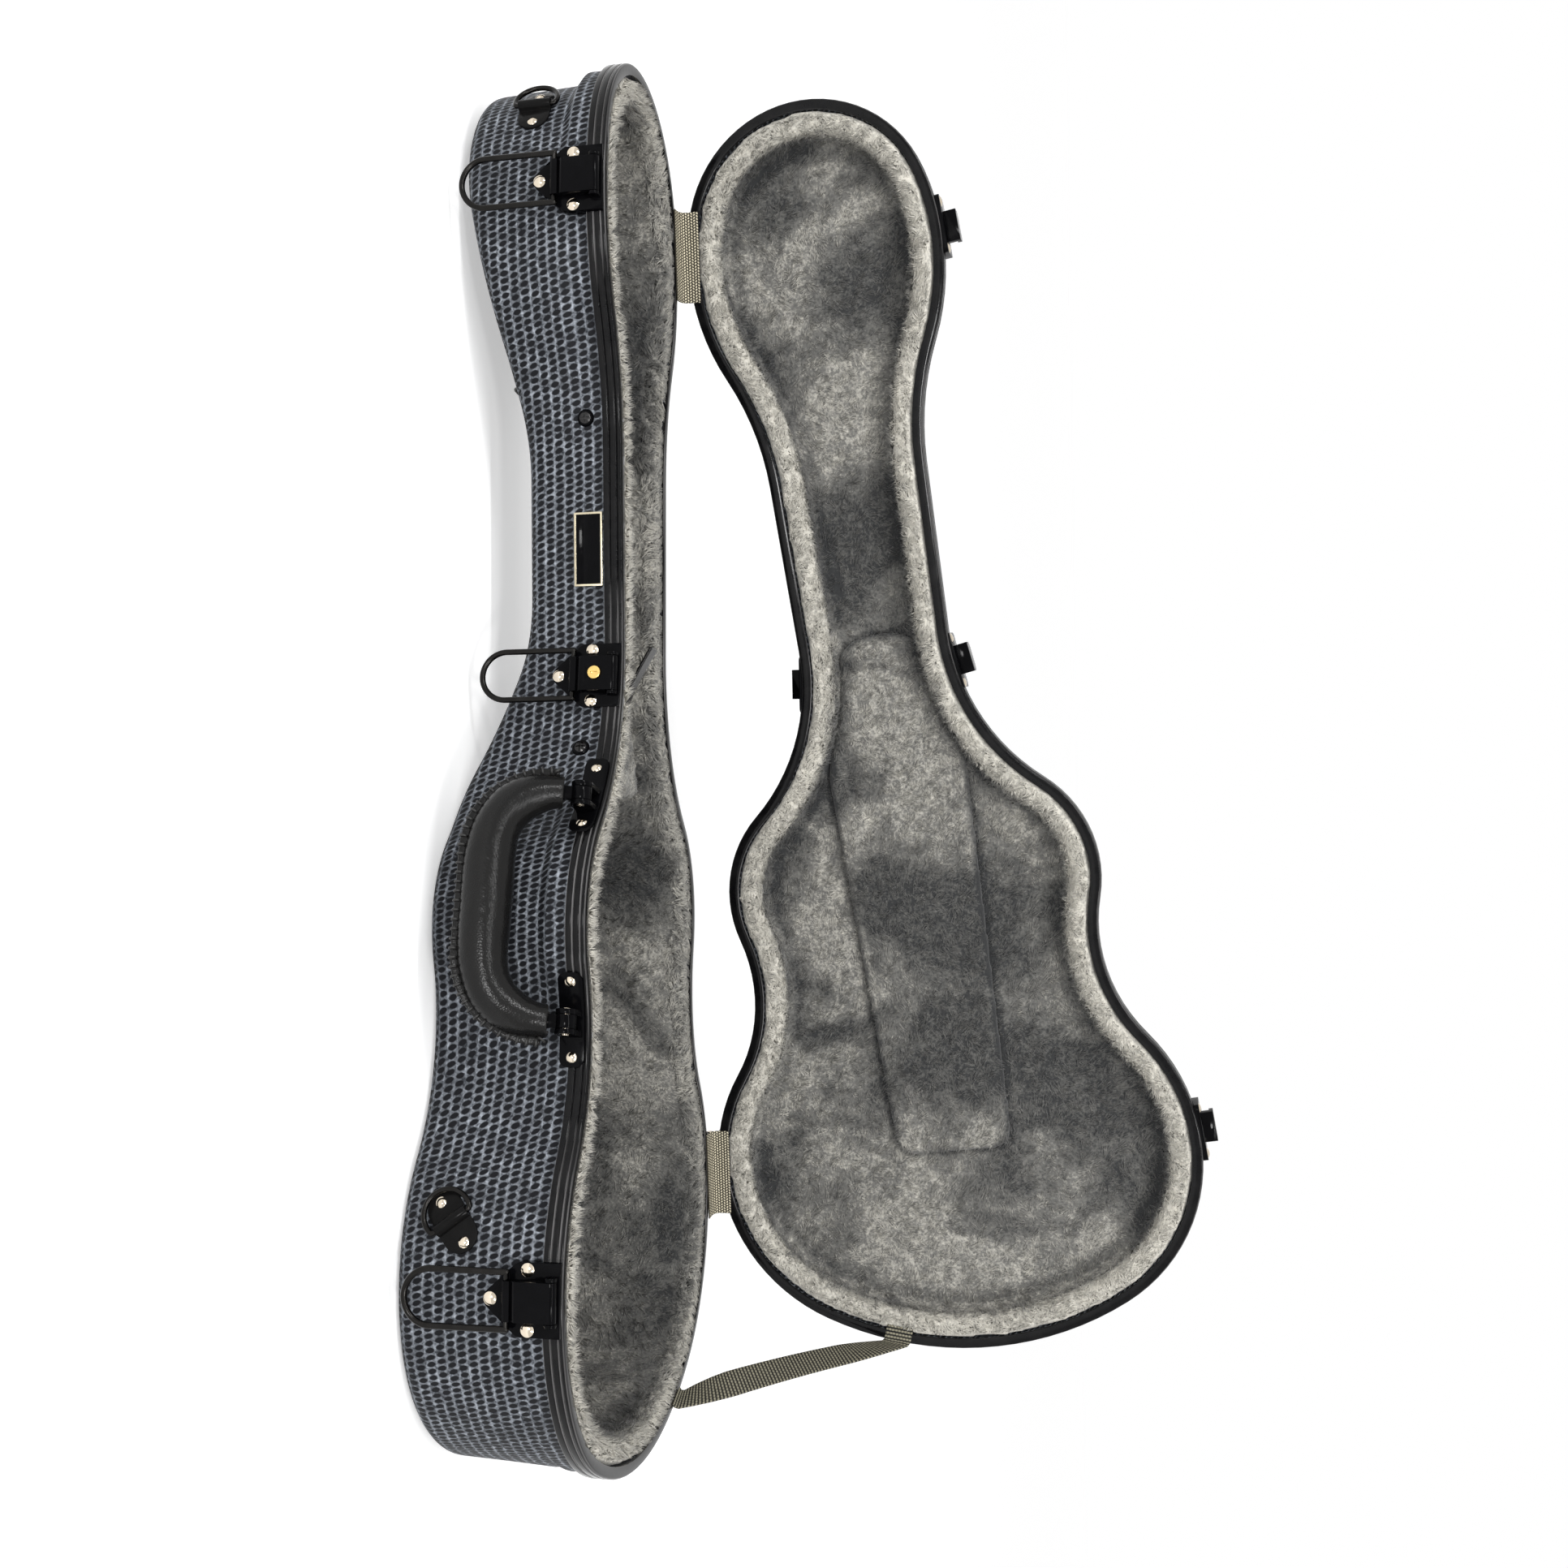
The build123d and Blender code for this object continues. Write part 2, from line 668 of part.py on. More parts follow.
def bail(name):
    """The wire loop, hanging from the lever's free end."""
    far = bail_length - bail_wire
    arc_at = -(far - bail_half)
    path = Wire(
        [
            Line((-bail_half, 0), (-bail_half, arc_at)),
            ThreePointArc((-bail_half, arc_at), (0, -far), (bail_half, arc_at)),
            Line((bail_half, arc_at), (bail_half, 0)),
        ]
    )
    start = Plane(origin=path @ 0, z_dir=path % 0)
    loop = sweep(start * Circle(bail_wire), path)
    knees = [Pos(side * bail_half, 0, 0) * Sphere(bail_wire) for side in (-1, 1)]
    trunnion = Rot(0, 90, 0) * Cylinder(trunnion_radius, 2 * bail_half)
    return place(name) * Pos(0, bail_axis, axle_out) * (loop + knees[0] + knees[1] + trunnion)


def catch(name, lid, moulding):
    """The hooked catch on the lid that the bail drops over, on its own plate."""
    low, high = catch_plate
    plate = Pos(0, (low + high) / 2, (plate_face - plate_depth) / 2) * Box(
        2 * plate_half, high - low, plate_face + plate_depth
    )
    plate = fillet(plate.edges().filter_by(Axis.Z), 3.0)
    centre = bail_axis + bail_length - bail_wire - bail_half
    inner = bail_half - bail_wire - catch_gap
    neck_top = axle_out + bail_wire + catch_gap
    disc = Pos(0, centre, neck_top / 2) * Cylinder(inner, neck_top)
    band = Pos(0, (catch_foot + high + 5) / 2, neck_top / 2) * Box(2 * catch_half, high + 5 - catch_foot, neck_top)
    lip_size = (2 * catch_half, catch_top - catch_foot, catch_reach - neck_top)
    lip = Pos(0, (catch_foot + catch_top) / 2, (neck_top + catch_reach) / 2) * Box(*lip_size)
    lip = fillet(lip.edges().filter_by(Axis.Z).sort_by(Axis.Y)[2:], 4.0)
    return place(name) * (plate + (disc & band) + lip) - lid - moulding


def on_latches(spots, height):
    """Rivet heads at the same spots of every latch or catch."""
    head = rivet(*rivet_head)
    return [place(name) * Pos(x, y, height) * head for name, _, _ in latch_places for x, y in spots]


def handle_plane(lean=handle_lean):
    """The handle's plane: x along its pivots towards the tail, y up out of the grip, z outwards."""
    (x0, x1), (y0, y1) = handle_ends, handle_end_offsets
    turn = atan2(y0 - y1, x1 - x0)
    tilt = radians(lean)
    out = Vector(sin(turn), -cos(turn), 0)
    normal = out * cos(tilt) + Vector(0, 0, sin(tilt))
    origin = (x_at((x0 + x1) / 2), -(y0 + y1) / 2, rim_z - handle_drop)
    return Plane(origin=origin, x_dir=(cos(turn), sin(turn), 0), z_dir=normal)


handle_half = sqrt((handle_ends[1] - handle_ends[0]) ** 2 + (handle_end_offsets[1] - handle_end_offsets[0]) ** 2) / 2


def bow(spread, start, reach, radius):
    """The handle's bow shape as a line: down one arm, across and up the other."""
    half = handle_half + spread
    return FilletPolyline((-half, -start), (-half, -reach), (half, -reach), (half, -start), radius=radius)


def end_loops():
    """The steel eyes at the grip's ends, each with a tongue inside the grip."""
    eyes = []
    for side in (-1, 1):
        eye = Rot(0, 90, 0) * Cylinder(eye_radius, 2 * eye_half)
        tongue = Pos(0, -eye_tongue / 2, 0) * Box(2 * eye_half, eye_tongue, 4.0)
        bore = Rot(0, 90, 0) * Cylinder(handle_pin_radius + running_gap, 4 * eye_half)
        eyes.append(handle_plane() * Pos(side * handle_half, 0, 0) * (eye + tongue - bore))
    return eyes


def handle_grip():
    """The padded grip, thick in the middle, with a sewn seam standing out along its outer edge."""
    line = bow(0, grip_start, handle_reach, grip_corner)
    steps = grip_stations
    sections = []
    for t in steps:
        swell = sin(pi * t) ** 0.7
        radius = grip_end_radius + (grip_radius - grip_end_radius) * swell
        sections.append(Plane(origin=line @ t, x_dir=(0, 0, 1), z_dir=line % t) * Circle(radius))
    core = loft(sections)
    edge = seam_proud - 1.0
    outer = bow(arm_radius + edge, seam_start, handle_reach + grip_radius + edge, grip_corner + grip_radius)
    inner = bow(arm_radius - 4, seam_start, handle_reach + grip_radius - 5, grip_corner + 5)
    caps = [Line(outer @ 0, inner @ 0), Line(outer @ 1, inner @ 1)]
    seam = extrude(make_face([*outer.edges(), *inner.edges(), *caps]), seam_thickness / 2, both=True)
    grip = handle_plane() * (core + seam)
    for eye in end_loops():
        grip -= eye
    return grip


def pivots():
    """The two pivot planes of the handle: x inwards to the case, y up, z along the handle axis."""
    plane = handle_plane(0)
    inward = -plane.z_dir
    spots = [plane.origin + plane.x_dir * (side * handle_half) for side in (-1, 1)]
    return [Plane(origin=spot, x_dir=inward, z_dir=inward.cross(Vector(0, 0, 1))) for spot in spots]


def handle_mounts(shell, moulding):
    """A plate on the moulding at each end of the handle, with two lugs round the handle's eye."""
    mounts = []
    skin = ruled([(rim_plan, mount_thickness, rim_z - 3 * handle_drop), (rim_plan, mount_thickness, rim_z)])
    for pivot, (start, end) in zip(pivots(), mount_rivets):
        blank = Box(end - start + 2 * mount_margin, 2 * lower_bout[1], mount_height)
        blank = fillet(blank.edges().filter_by(Axis.Y), mount_margin - 0.6)
        middle = ((x_at(start) + x_at(end)) / 2, -lower_bout[1], rim_z - handle_drop)
        solid = (Pos(*middle) * blank & skin).solid()
        for side in (-1, 1):
            middle = side * (eye_half + side_gap + lug_thickness / 2)
            arm = Pos(lug_reach / 2, 0, middle) * Box(lug_reach, 2 * eye_radius, lug_thickness)
            nose = Pos(0, 0, middle) * Cylinder(eye_radius, lug_thickness)
            solid += pivot * (arm + nose)
        solid -= pivot * Cylinder(handle_pin_radius, 8 * eye_half)
        mounts.append((solid - shell - moulding).solids().sort_by(SortBy.VOLUME)[-1])
    return mounts


def handle_pins():
    length = 2 * (eye_half + side_gap + lug_thickness) + 1
    return [pivot * Cylinder(handle_pin_radius, length) for pivot in pivots()]


def seated(heads, seats):
    """Rivet heads cut to the curved plates that they stand on."""
    for seat in seats:
        heads = [head - seat for head in heads]
    return heads


def handle_rivets(mounts):
    head = rivet(*mount_rivet_head)
    stations = [x for pair in mount_rivets for x in pair]
    planes = [wall_plane(x, -1, -handle_drop, rim_plan, mount_thickness) for x in stations]
    return seated([plane * head for plane in planes], mounts)


def shell_plane(from_head, height, turn=0.0, lift=0.0):
    """A plane on the front wall of the shell below its ledge, turned in the wall."""
    fall = -ledge_height - ledge_slope - height
    grow = lift - wall_inset - wall_draft * fall / (rim_z - ledge_height)
    return Plane(wall_plane(from_head, -1, height, wall_plan, grow) * Rot(0, 0, turn))


def ring_planes():
    """A plane for each strap ring: x from the bar to the ring's bow, y along the bar, z off the case."""
    planes = {name: shell_plane(x, height, turn) for name, x, height, turn in ring_places}
    (x0, z0), (x1, z1) = arch_points[1:3]
    slope = atan2(z1 - z0, x1 - x0)
    origin = (x_at(back_ring_place), 0, z0 + (back_ring_place - x0) * tan(slope))
    towards, off = (-cos(slope), 0, -sin(slope)), (sin(slope), 0, -cos(slope))
    planes["back"] = Plane(origin=origin, x_dir=towards, z_dir=off)
    return planes


ring_axis = ring_plate[2] + ring_wire + ring_clearance


def ring_mount(plane, shell, skin):
    """A riveted plate that follows the wall, with a raised loop across it for the ring's bar."""
    width, length, thickness = ring_plate
    blank = Box(length, width, 6 * thickness)
    blank = fillet(blank.edges().filter_by(Axis.Z), width / 2 - 0.1)
    hump = Pos(0, 0, ring_axis) * Rot(90, 0, 0) * Cylinder(ring_hump, width)
    base = Pos(0, 0, ring_axis / 2) * Box(2 * ring_hump, width, ring_axis)
    bore = Pos(0, 0, ring_axis) * Rot(90, 0, 0) * Cylinder(ring_wire + ring_clearance, 2 * width)
    return (plane * blank & skin) + plane * (hump + base) - plane * bore - shell


def ring(plane, hang=0.0):
    """A ring with a straight bar, lying flat or hanging from its plate."""
    half = Pos(2 * ring_radius, 0) * Rectangle(4 * ring_radius, 4 * ring_radius)
    shape = Pos(ring_chord, 0) * Circle(ring_radius) & half
    path = fillet(shape.vertices(), ring_corner).wire()
    wire = sweep(Plane(origin=path @ 0, z_dir=path % 0) * Circle(ring_wire), path)
    return plane * Pos(0, 0, ring_axis) * Rot(0, -hang, 0) * wire


def ring_rivets(mounts):
    """Two rivet heads on each ring plate, following the wall."""
    head = rivet(*ring_rivet_head)
    thickness = ring_plate[2]
    planes = ring_planes()
    heads = [planes["back"] * Pos(s * ring_rivet_reach, 0, thickness) * head for s in (-1, 1)]
    for name, from_head, height, _ in ring_places:
        step = planes[name].x_dir * ring_rivet_reach
        for s in (-1, 1):
            heads.append(shell_plane(from_head + s * step.X, height + s * step.Z, 0, thickness) * head)
    return seated(heads, mounts)


def on_neck_walls(shape, shell):
    """A small piece at each screw place of both side walls, standing on the shell."""
    grow = -shell_edge_inset
    walls = [wall_plane(x, side, screw_height, rim_plan, grow) for x in screw_places for side in (-1, 1)]
    return [wall * shape - shell for wall in walls]


def cup_washers(shell):
    cup = Pos(0, 0, washer_height / 2) * Cone(washer_radius, washer_radius - 1, washer_height)
    return on_neck_walls(cup - Cylinder(screw_head[0], 4 * washer_height), shell)


def neck_screws(shell):
    radius, bulge = screw_head
    head = Pos(0, 0, washer_height / 2) * Cylinder(radius, washer_height)
    head += Pos(0, 0, washer_height) * rivet(radius, bulge)
    slot = Box(1.8 * radius, 0.8, 2.4)
    cross = Pos(0, 0, washer_height + bulge) * (slot + Rot(0, 0, 90) * slot)
    return on_neck_walls(head - cross, shell)


def bare_plate(shell):
    """The name plate, left bare inside its raised border."""
    from_head, length, height = name_plate
    thickness, border = name_plate_thickness, name_plate_border
    plate = Pos(0, 0, thickness / 2 - 1) * Box(length, height, thickness + 2)
    well = Pos(0, 0, thickness) * Box(length - 2 * border, height - 2 * border, 0.6)
    wall = wall_plane(from_head, -1, name_plate_height, rim_plan, -shell_edge_inset)
    return wall * (plate - well) - shell


def build():
    """Every sub-part of the case, by name."""
    shell = room(0, rim_z - edging_cover)
    moulding = ruled([(rim_plan, 0, rim_z - edging_height), (rim_plan, 0, rim_z)])
    lid = lid_room(0, lid_foot + edging_cover)
    lid_moulding = ruled([(rim_plan, 0, lid_foot), (rim_plan, 0, lid_foot + edging_height)])
    ring_skin = room(-ring_plate[2], rim_z - edging_cover)
    names = [name for name, _, _ in latch_places]
    mounts = handle_mounts(shell, moulding)
    ring_mounts = {n: ring_mount(p, shell, ring_skin) for n, p in ring_planes().items()}

    parts = {
        "base_shell": base_shell(),
        "base_edging": edging(-1),
        "base_lining": base_lining(),
        "neck_block": neck_block(),
        "compartment_lid": box_lid(),
        "pull_tab": pull_tab(),
        "base_hinge_leaves": hinge_leaves(-1),
        "hinge_pins": hinge_pins(),
        "latch_pins": [latch_pin(name) for name in names],
        "latch_rivets": on_latches(latch_rivets, plate_face),
        "lock_barrel": lock_barrel(),
        "handle_mounts": mounts,
        "handle_rivets": handle_rivets(mounts),
        "handle_pins": handle_pins(),
        "handle_end_loops": end_loops(),
        "handle_grip": handle_grip(),
        "ring_rivets": ring_rivets(ring_mounts.values()),
        "cup_washers": cup_washers(shell),
        "neck_screws": neck_screws(shell),
        "name_plate": bare_plate(shell),
        "stay_strap": stay_strap(),
    }
    for name in names:
        parts[f"latch_plate_{name}"] = latch_plate(name, shell, moulding)
        parts[f"lever_{name}"] = lever(name)
        parts[f"bail_{name}"] = bail(name)
    for name, plane in ring_planes().items():
        parts[f"ring_plate_{name}"] = ring_mounts[name]
        parts[f"ring_{name}"] = ring(plane, back_ring_hang if name == "back" else 0.0)
    for name, from_head in zip(("head", "tail"), hinge_from_head):
        parts[f"hinge_webbing_{name}"] = hinge_webbing(from_head)

    closed = {
        "lid_shell": lid_shell(),
        "lid_edging": edging(1),
        "lid_lining": lid_lining(),
        "lid_center_pad": lid_center_pad(),
        "lid_hinge_leaves": hinge_leaves(1),
        "catches": [catch(name, lid, lid_moulding) for name in names],
        "catch_rivets": on_latches(catch_rivets, plate_face),
    }
    for name, piece in closed.items():
        parts[name] = [opened(p) for p in piece] if isinstance(piece, list) else opened(piece)
    return parts


def write(parts):
    os.makedirs("parts", exist_ok=True)
    for name, piece in parts.items():
        pieces = piece if isinstance(piece, list) else [piece]
        solids = [solid for p in pieces for solid in p.solids()]
        export_step(solids[0] if len(solids) == 1 else Compound(solids), f"parts/{name}.step")


write(build())
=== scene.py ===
import json
import math

import bpy
import numpy as np
from mathutils import Matrix, Vector
from mathutils.geometry import convex_hull_2d
from mathutils.kdtree import KDTree

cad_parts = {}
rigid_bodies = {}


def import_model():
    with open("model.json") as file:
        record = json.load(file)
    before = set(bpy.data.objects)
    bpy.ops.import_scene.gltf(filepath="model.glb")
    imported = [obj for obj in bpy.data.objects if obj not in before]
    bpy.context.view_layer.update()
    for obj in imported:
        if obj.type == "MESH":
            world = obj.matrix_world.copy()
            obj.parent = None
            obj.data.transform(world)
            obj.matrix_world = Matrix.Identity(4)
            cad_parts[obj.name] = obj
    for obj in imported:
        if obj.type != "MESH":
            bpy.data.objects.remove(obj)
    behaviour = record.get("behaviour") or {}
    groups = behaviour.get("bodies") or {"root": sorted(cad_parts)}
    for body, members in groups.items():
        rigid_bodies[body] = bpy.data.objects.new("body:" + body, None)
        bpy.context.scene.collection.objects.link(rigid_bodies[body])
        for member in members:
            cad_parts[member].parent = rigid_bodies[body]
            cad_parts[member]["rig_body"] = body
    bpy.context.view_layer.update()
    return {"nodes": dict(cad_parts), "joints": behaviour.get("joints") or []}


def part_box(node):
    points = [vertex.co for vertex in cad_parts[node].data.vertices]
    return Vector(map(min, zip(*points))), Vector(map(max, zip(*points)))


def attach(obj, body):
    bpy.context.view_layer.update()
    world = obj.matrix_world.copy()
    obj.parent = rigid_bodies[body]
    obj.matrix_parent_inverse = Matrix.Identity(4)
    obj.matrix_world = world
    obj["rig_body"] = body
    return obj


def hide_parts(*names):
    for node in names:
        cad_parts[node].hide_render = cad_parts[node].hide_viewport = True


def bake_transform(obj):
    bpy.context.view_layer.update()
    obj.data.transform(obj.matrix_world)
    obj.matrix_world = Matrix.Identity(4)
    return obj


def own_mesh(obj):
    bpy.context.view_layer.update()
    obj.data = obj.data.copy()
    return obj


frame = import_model()

# The studio. The case lies on a pale floor with its lid open, and the photograph was
# taken from its handle side, with the camera turned so that the head end is at the top.
photo_width = 1932
focal_length = 2043.06
principal_shift = (40.7, 10.14)
camera_place = Vector((-0.1391, -0.85785, 0.31576))
camera_turn = Vector((-0.0347, -0.2009, 0.0092))
photo_axes = Matrix(((0, 0, 1), (-1, 0, 0), (0, -1, 0)))

lens = bpy.data.cameras.new("photo_camera")
lens.sensor_width = 36.0
lens.lens = focal_length / photo_width * lens.sensor_width
lens.shift_x = principal_shift[0] / photo_width
lens.shift_y = principal_shift[1] / photo_width
lens.clip_start = 0.02
camera = bpy.data.objects.new("photo_camera", lens)
bpy.context.scene.collection.objects.link(camera)
turned = Matrix.Rotation(camera_turn.length, 3, camera_turn) @ photo_axes
camera.matrix_world = Matrix.Translation(camera_place) @ turned.transposed().to_4x4()
bpy.context.scene.camera = camera


def feed(tree, node, values):
    """Sets a node's inputs, each to a value or linked from a socket."""
    for key, value in values.items():
        if isinstance(value, bpy.types.NodeSocket):
            tree.links.new(value, node.inputs[key])
        else:
            node.inputs[key].default_value = value


def add(tree, kind, values=None, **settings):
    """A node with its settings and with its inputs fed."""
    node = tree.nodes.new(kind)
    for key, value in settings.items():
        setattr(node, key, value)
    feed(tree, node, values or {})
    return node


def calc(tree, operation, first, second=0.0):
    """The output of a math node."""
    return add(tree, "ShaderNodeMath", {0: first, 1: second}, operation=operation).outputs[0]


def ranged(tree, value, before=(0.0, 1.0), after=(0.0, 1.0), **settings):
    """A value moved from one range to another, and held at its ends."""
    given = {0: value, 1: before[0], 2: before[1], 3: after[0], 4: after[1]}
    return add(tree, "ShaderNodeMapRange", given, **settings).outputs[0]


def finish_named(name, values=None):
    """A new material, its node tree, and its Principled BSDF with the inputs that are given."""
    material = bpy.data.materials.new(name)
    material.use_nodes = True
    shader = material.node_tree.nodes["Principled BSDF"]
    feed(material.node_tree, shader, values or {})
    return material, material.node_tree, shader


def seen_rays(tree):
    """1 for rays that the camera, a gloss or a glass sends out, and 0 for light on the object."""
    path = add(tree, "ShaderNodeLightPath")
    gloss = calc(tree, "MAXIMUM", path.outputs["Is Camera Ray"], path.outputs["Is Glossy Ray"])
    return calc(tree, "MAXIMUM", gloss, path.outputs["Is Transmission Ray"])


white = (1.0, 1.0, 1.0, 1.0)
world = bpy.data.worlds.new("studio")
bpy.context.scene.world = world
world.use_nodes = True
sky = world.node_tree
sky_level = ranged(sky, seen_rays(sky), after=(0.62, 1.0))
feed(sky, sky.nodes["Background"], {"Color": white, "Strength": sky_level})

floor_drop = 0.0002
bpy.ops.mesh.primitive_plane_add(size=80.0, location=(0.0, 0.0, -floor_drop))
floor = bpy.context.object
floor.name = "studio_floor"
matt = {"Base Color": (0.86, 0.86, 0.86, 1.0), "Roughness": 0.9, "Emission Color": white}
paper, tree, shader = finish_named("pale_paper", matt)
feed(tree, shader, {"Emission Strength": calc(tree, "MULTIPLY", seen_rays(tree), 0.42)})
floor.data.materials.append(paper)


def softbox(name, place, target, size, watts):
    """A studio lamp aimed at a point."""
    data = bpy.data.lights.new(name, "AREA")
    data.shape = "RECTANGLE"
    data.size, data.size_y = size
    data.energy = watts
    lamp = bpy.data.objects.new(name, data)
    bpy.context.scene.collection.objects.link(lamp)
    aim = Vector(target) - Vector(place)
    lamp.matrix_world = Matrix.Translation(place) @ aim.to_track_quat("-Z", "Y").to_matrix().to_4x4()


softbox("key_lamp", (0.7, -1.7, 1.3), target=(-0.1, 0.0, 0.1), size=(0.24, 0.24), watts=11.0)
softbox("fill_lamp", (-1.5, -1.3, 1.2), target=(-0.1, 0.0, 0.1), size=(0.3, 0.3), watts=10.0)
softbox("front_lamp", (-0.35, -1.9, 0.32), target=(-0.1, 0.0, 0.06), size=(0.24, 0.24), watts=9.0)
softbox("strip_lamp", (-0.1, -1.15, 1.35), target=(-0.1, -0.1, 0.05), size=(2.4, 0.035), watts=14.0)
bpy.context.scene.view_settings.view_transform = "Standard"

# The two shells. The real ones are moulded boards wrapped in a coated woven cloth, whose pale
# yarns part round staggered rows of leaning dark eyes. The skin is drawn on a map of the
# distance along the rim and the height up the wall.
hinge = next(j for j in frame["joints"] if j["name"] == "lid_hinge")
hinge_place = Vector(hinge["pos_m"])
hinge_line = Vector(hinge["axis"])
closing = math.radians(hinge["range_deg"][1])
turn_shut = np.array(Matrix.Rotation(closing, 3, hinge_line))


def select(*objects):
    """Selects these objects alone, with the first one active."""
    bpy.ops.object.select_all(action="DESELECT")
    for item in objects:
        item.select_set(True)
    bpy.context.view_layer.objects.active = objects[0]


def apply(piece, kind, **settings):
    """Adds a modifier to a piece, sets it and applies it."""
    select(piece)
    modifier = piece.modifiers.new(kind.lower(), kind)
    for key, value in settings.items():
        setattr(modifier, key, value)
    bpy.ops.object.modifier_apply(modifier=modifier.name)


def edit_all(piece, action, **settings):
    """Runs an edit mode action on the whole of a piece."""
    select(piece)
    bpy.ops.object.mode_set(mode="EDIT")
    bpy.ops.mesh.select_all(action="SELECT")
    action(**settings)
    bpy.ops.object.mode_set(mode="OBJECT")


def merged_copy(node, name):
    """A copy of a CAD node with its triangles joined, which takes the node's place."""
    source = frame["nodes"][node]
    piece = bpy.data.objects.new(name, source.data.copy())
    bpy.context.scene.collection.objects.link(piece)
    piece.data.materials.clear()
    edit_all(piece, bpy.ops.mesh.remove_doubles, threshold=0.00001)
    if piece.data.has_custom_normals:
        bpy.ops.mesh.customdata_custom_splitnormals_clear()
    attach(piece, source["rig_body"])
    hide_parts(node)
    return piece


def smooth(piece, degrees=35.0):
    """Smooth shading that keeps edges sharper than an angle."""
    select(piece)
    bpy.ops.object.shade_smooth_by_angle(angle=math.radians(degrees))


def points_of(mesh):
    """The places of a mesh's points, in rows of an array."""
    return np.array([v.co for v in mesh.vertices], float).reshape(-1, 3)


def shut(points):
    """Points of the open lid, turned to where they are with the lid shut."""
    place = np.array(hinge_place)
    return (points - place) @ turn_shut.T + place


def rim_line():
    """The rim's outline on one side, head to tail, from the moulding's outer edge."""
    edge_drop, near = 0.0008, 0.0001
    edge = points_of(frame["nodes"]["base_edging"].data)
    top = edge[:, 2].max()
    loop = edge[(abs(edge[:, 2] - (top - edge_drop)) < near) & (edge[:, 1] >= 0)][:, :2]
    loop = np.unique(loop.round(6), axis=0)
    return loop[np.argsort(loop[:, 0])]


def run_along(line):
    """How far each point of a line is from its start, along the line."""
    return np.concatenate([[0.0], np.cumsum(np.linalg.norm(np.diff(line, axis=0), axis=1))])


rim = rim_line()
rim_run = run_along(rim)


def along_rim(points):
    """For each point, how far along the rim it is, how far inside, and the way out at the wall."""
    flat = np.stack([points[:, 0], abs(points[:, 1])], axis=1)
    start, step = rim[:-1], np.diff(rim, axis=0)
    share = ((flat[:, None] - start) * step).sum(2) / (step**2).sum(1)
    share = share.clip(0, 1)
    foot = start + share[..., None] * step
    gap = np.linalg.norm(flat[:, None] - foot, axis=2)
    best = gap.argmin(1)
    rows = np.arange(len(flat))
    run = rim_run[best] + share[rows, best] * np.linalg.norm(step[best], axis=1)
    out = np.stack([-step[best][:, 1], step[best][:, 0]], axis=1)
    out /= np.linalg.norm(out, axis=1)[:, None]
    side = np.where(points[:, 1] < 0, -1.0, 1.0)
    out[:, 1] *= side
    return -side * run, gap[rows, best], out


def skin_map(piece, lid):
    """Gives a shell its map: along the rim and up on the walls, and flat on the back or top."""
    mesh = piece.data
    places = points_of(mesh)
    places = shut(places) if lid else places
    run, _, _ = along_rim(places)
    wall = np.stack([run, places[:, 2]], axis=1)
    layer = mesh.uv_layers.new(name="skin")
    for face in mesh.polygons:
        corners = places[list(face.vertices)]
        normal = np.cross(corners[1] - corners[0], corners[2] - corners[0])
        level_face = abs(normal[2]) > 0.75 * np.linalg.norm(normal)
        for loop in face.loop_indices:
            vertex = mesh.loops[loop].vertex_index
            layer.data[loop].uv = places[vertex, :2] if level_face else wall[vertex]


def noise(tree, place, scale, detail=2.0, roughness=0.5, distortion=0.0):
    """The outputs of a noise texture over a place."""
    given = {"Vector": place, "Scale": scale, "Detail": detail, "Roughness": roughness}
    return add(tree, "ShaderNodeTexNoise", {**given, "Distortion": distortion}).outputs


def mixed(tree, share, first, second):
    """A colour between two others."""
    return add(tree, "ShaderNodeMix", {0: share, 6: first, 7: second}, data_type="RGBA").outputs[2]


def bump(tree, height, strength, distance):
    """A normal that a height tilts, as if it rose by the distance."""
    given = {"Height": height, "Strength": strength, "Distance": distance}
    return add(tree, "ShaderNodeBump", given).outputs[0]


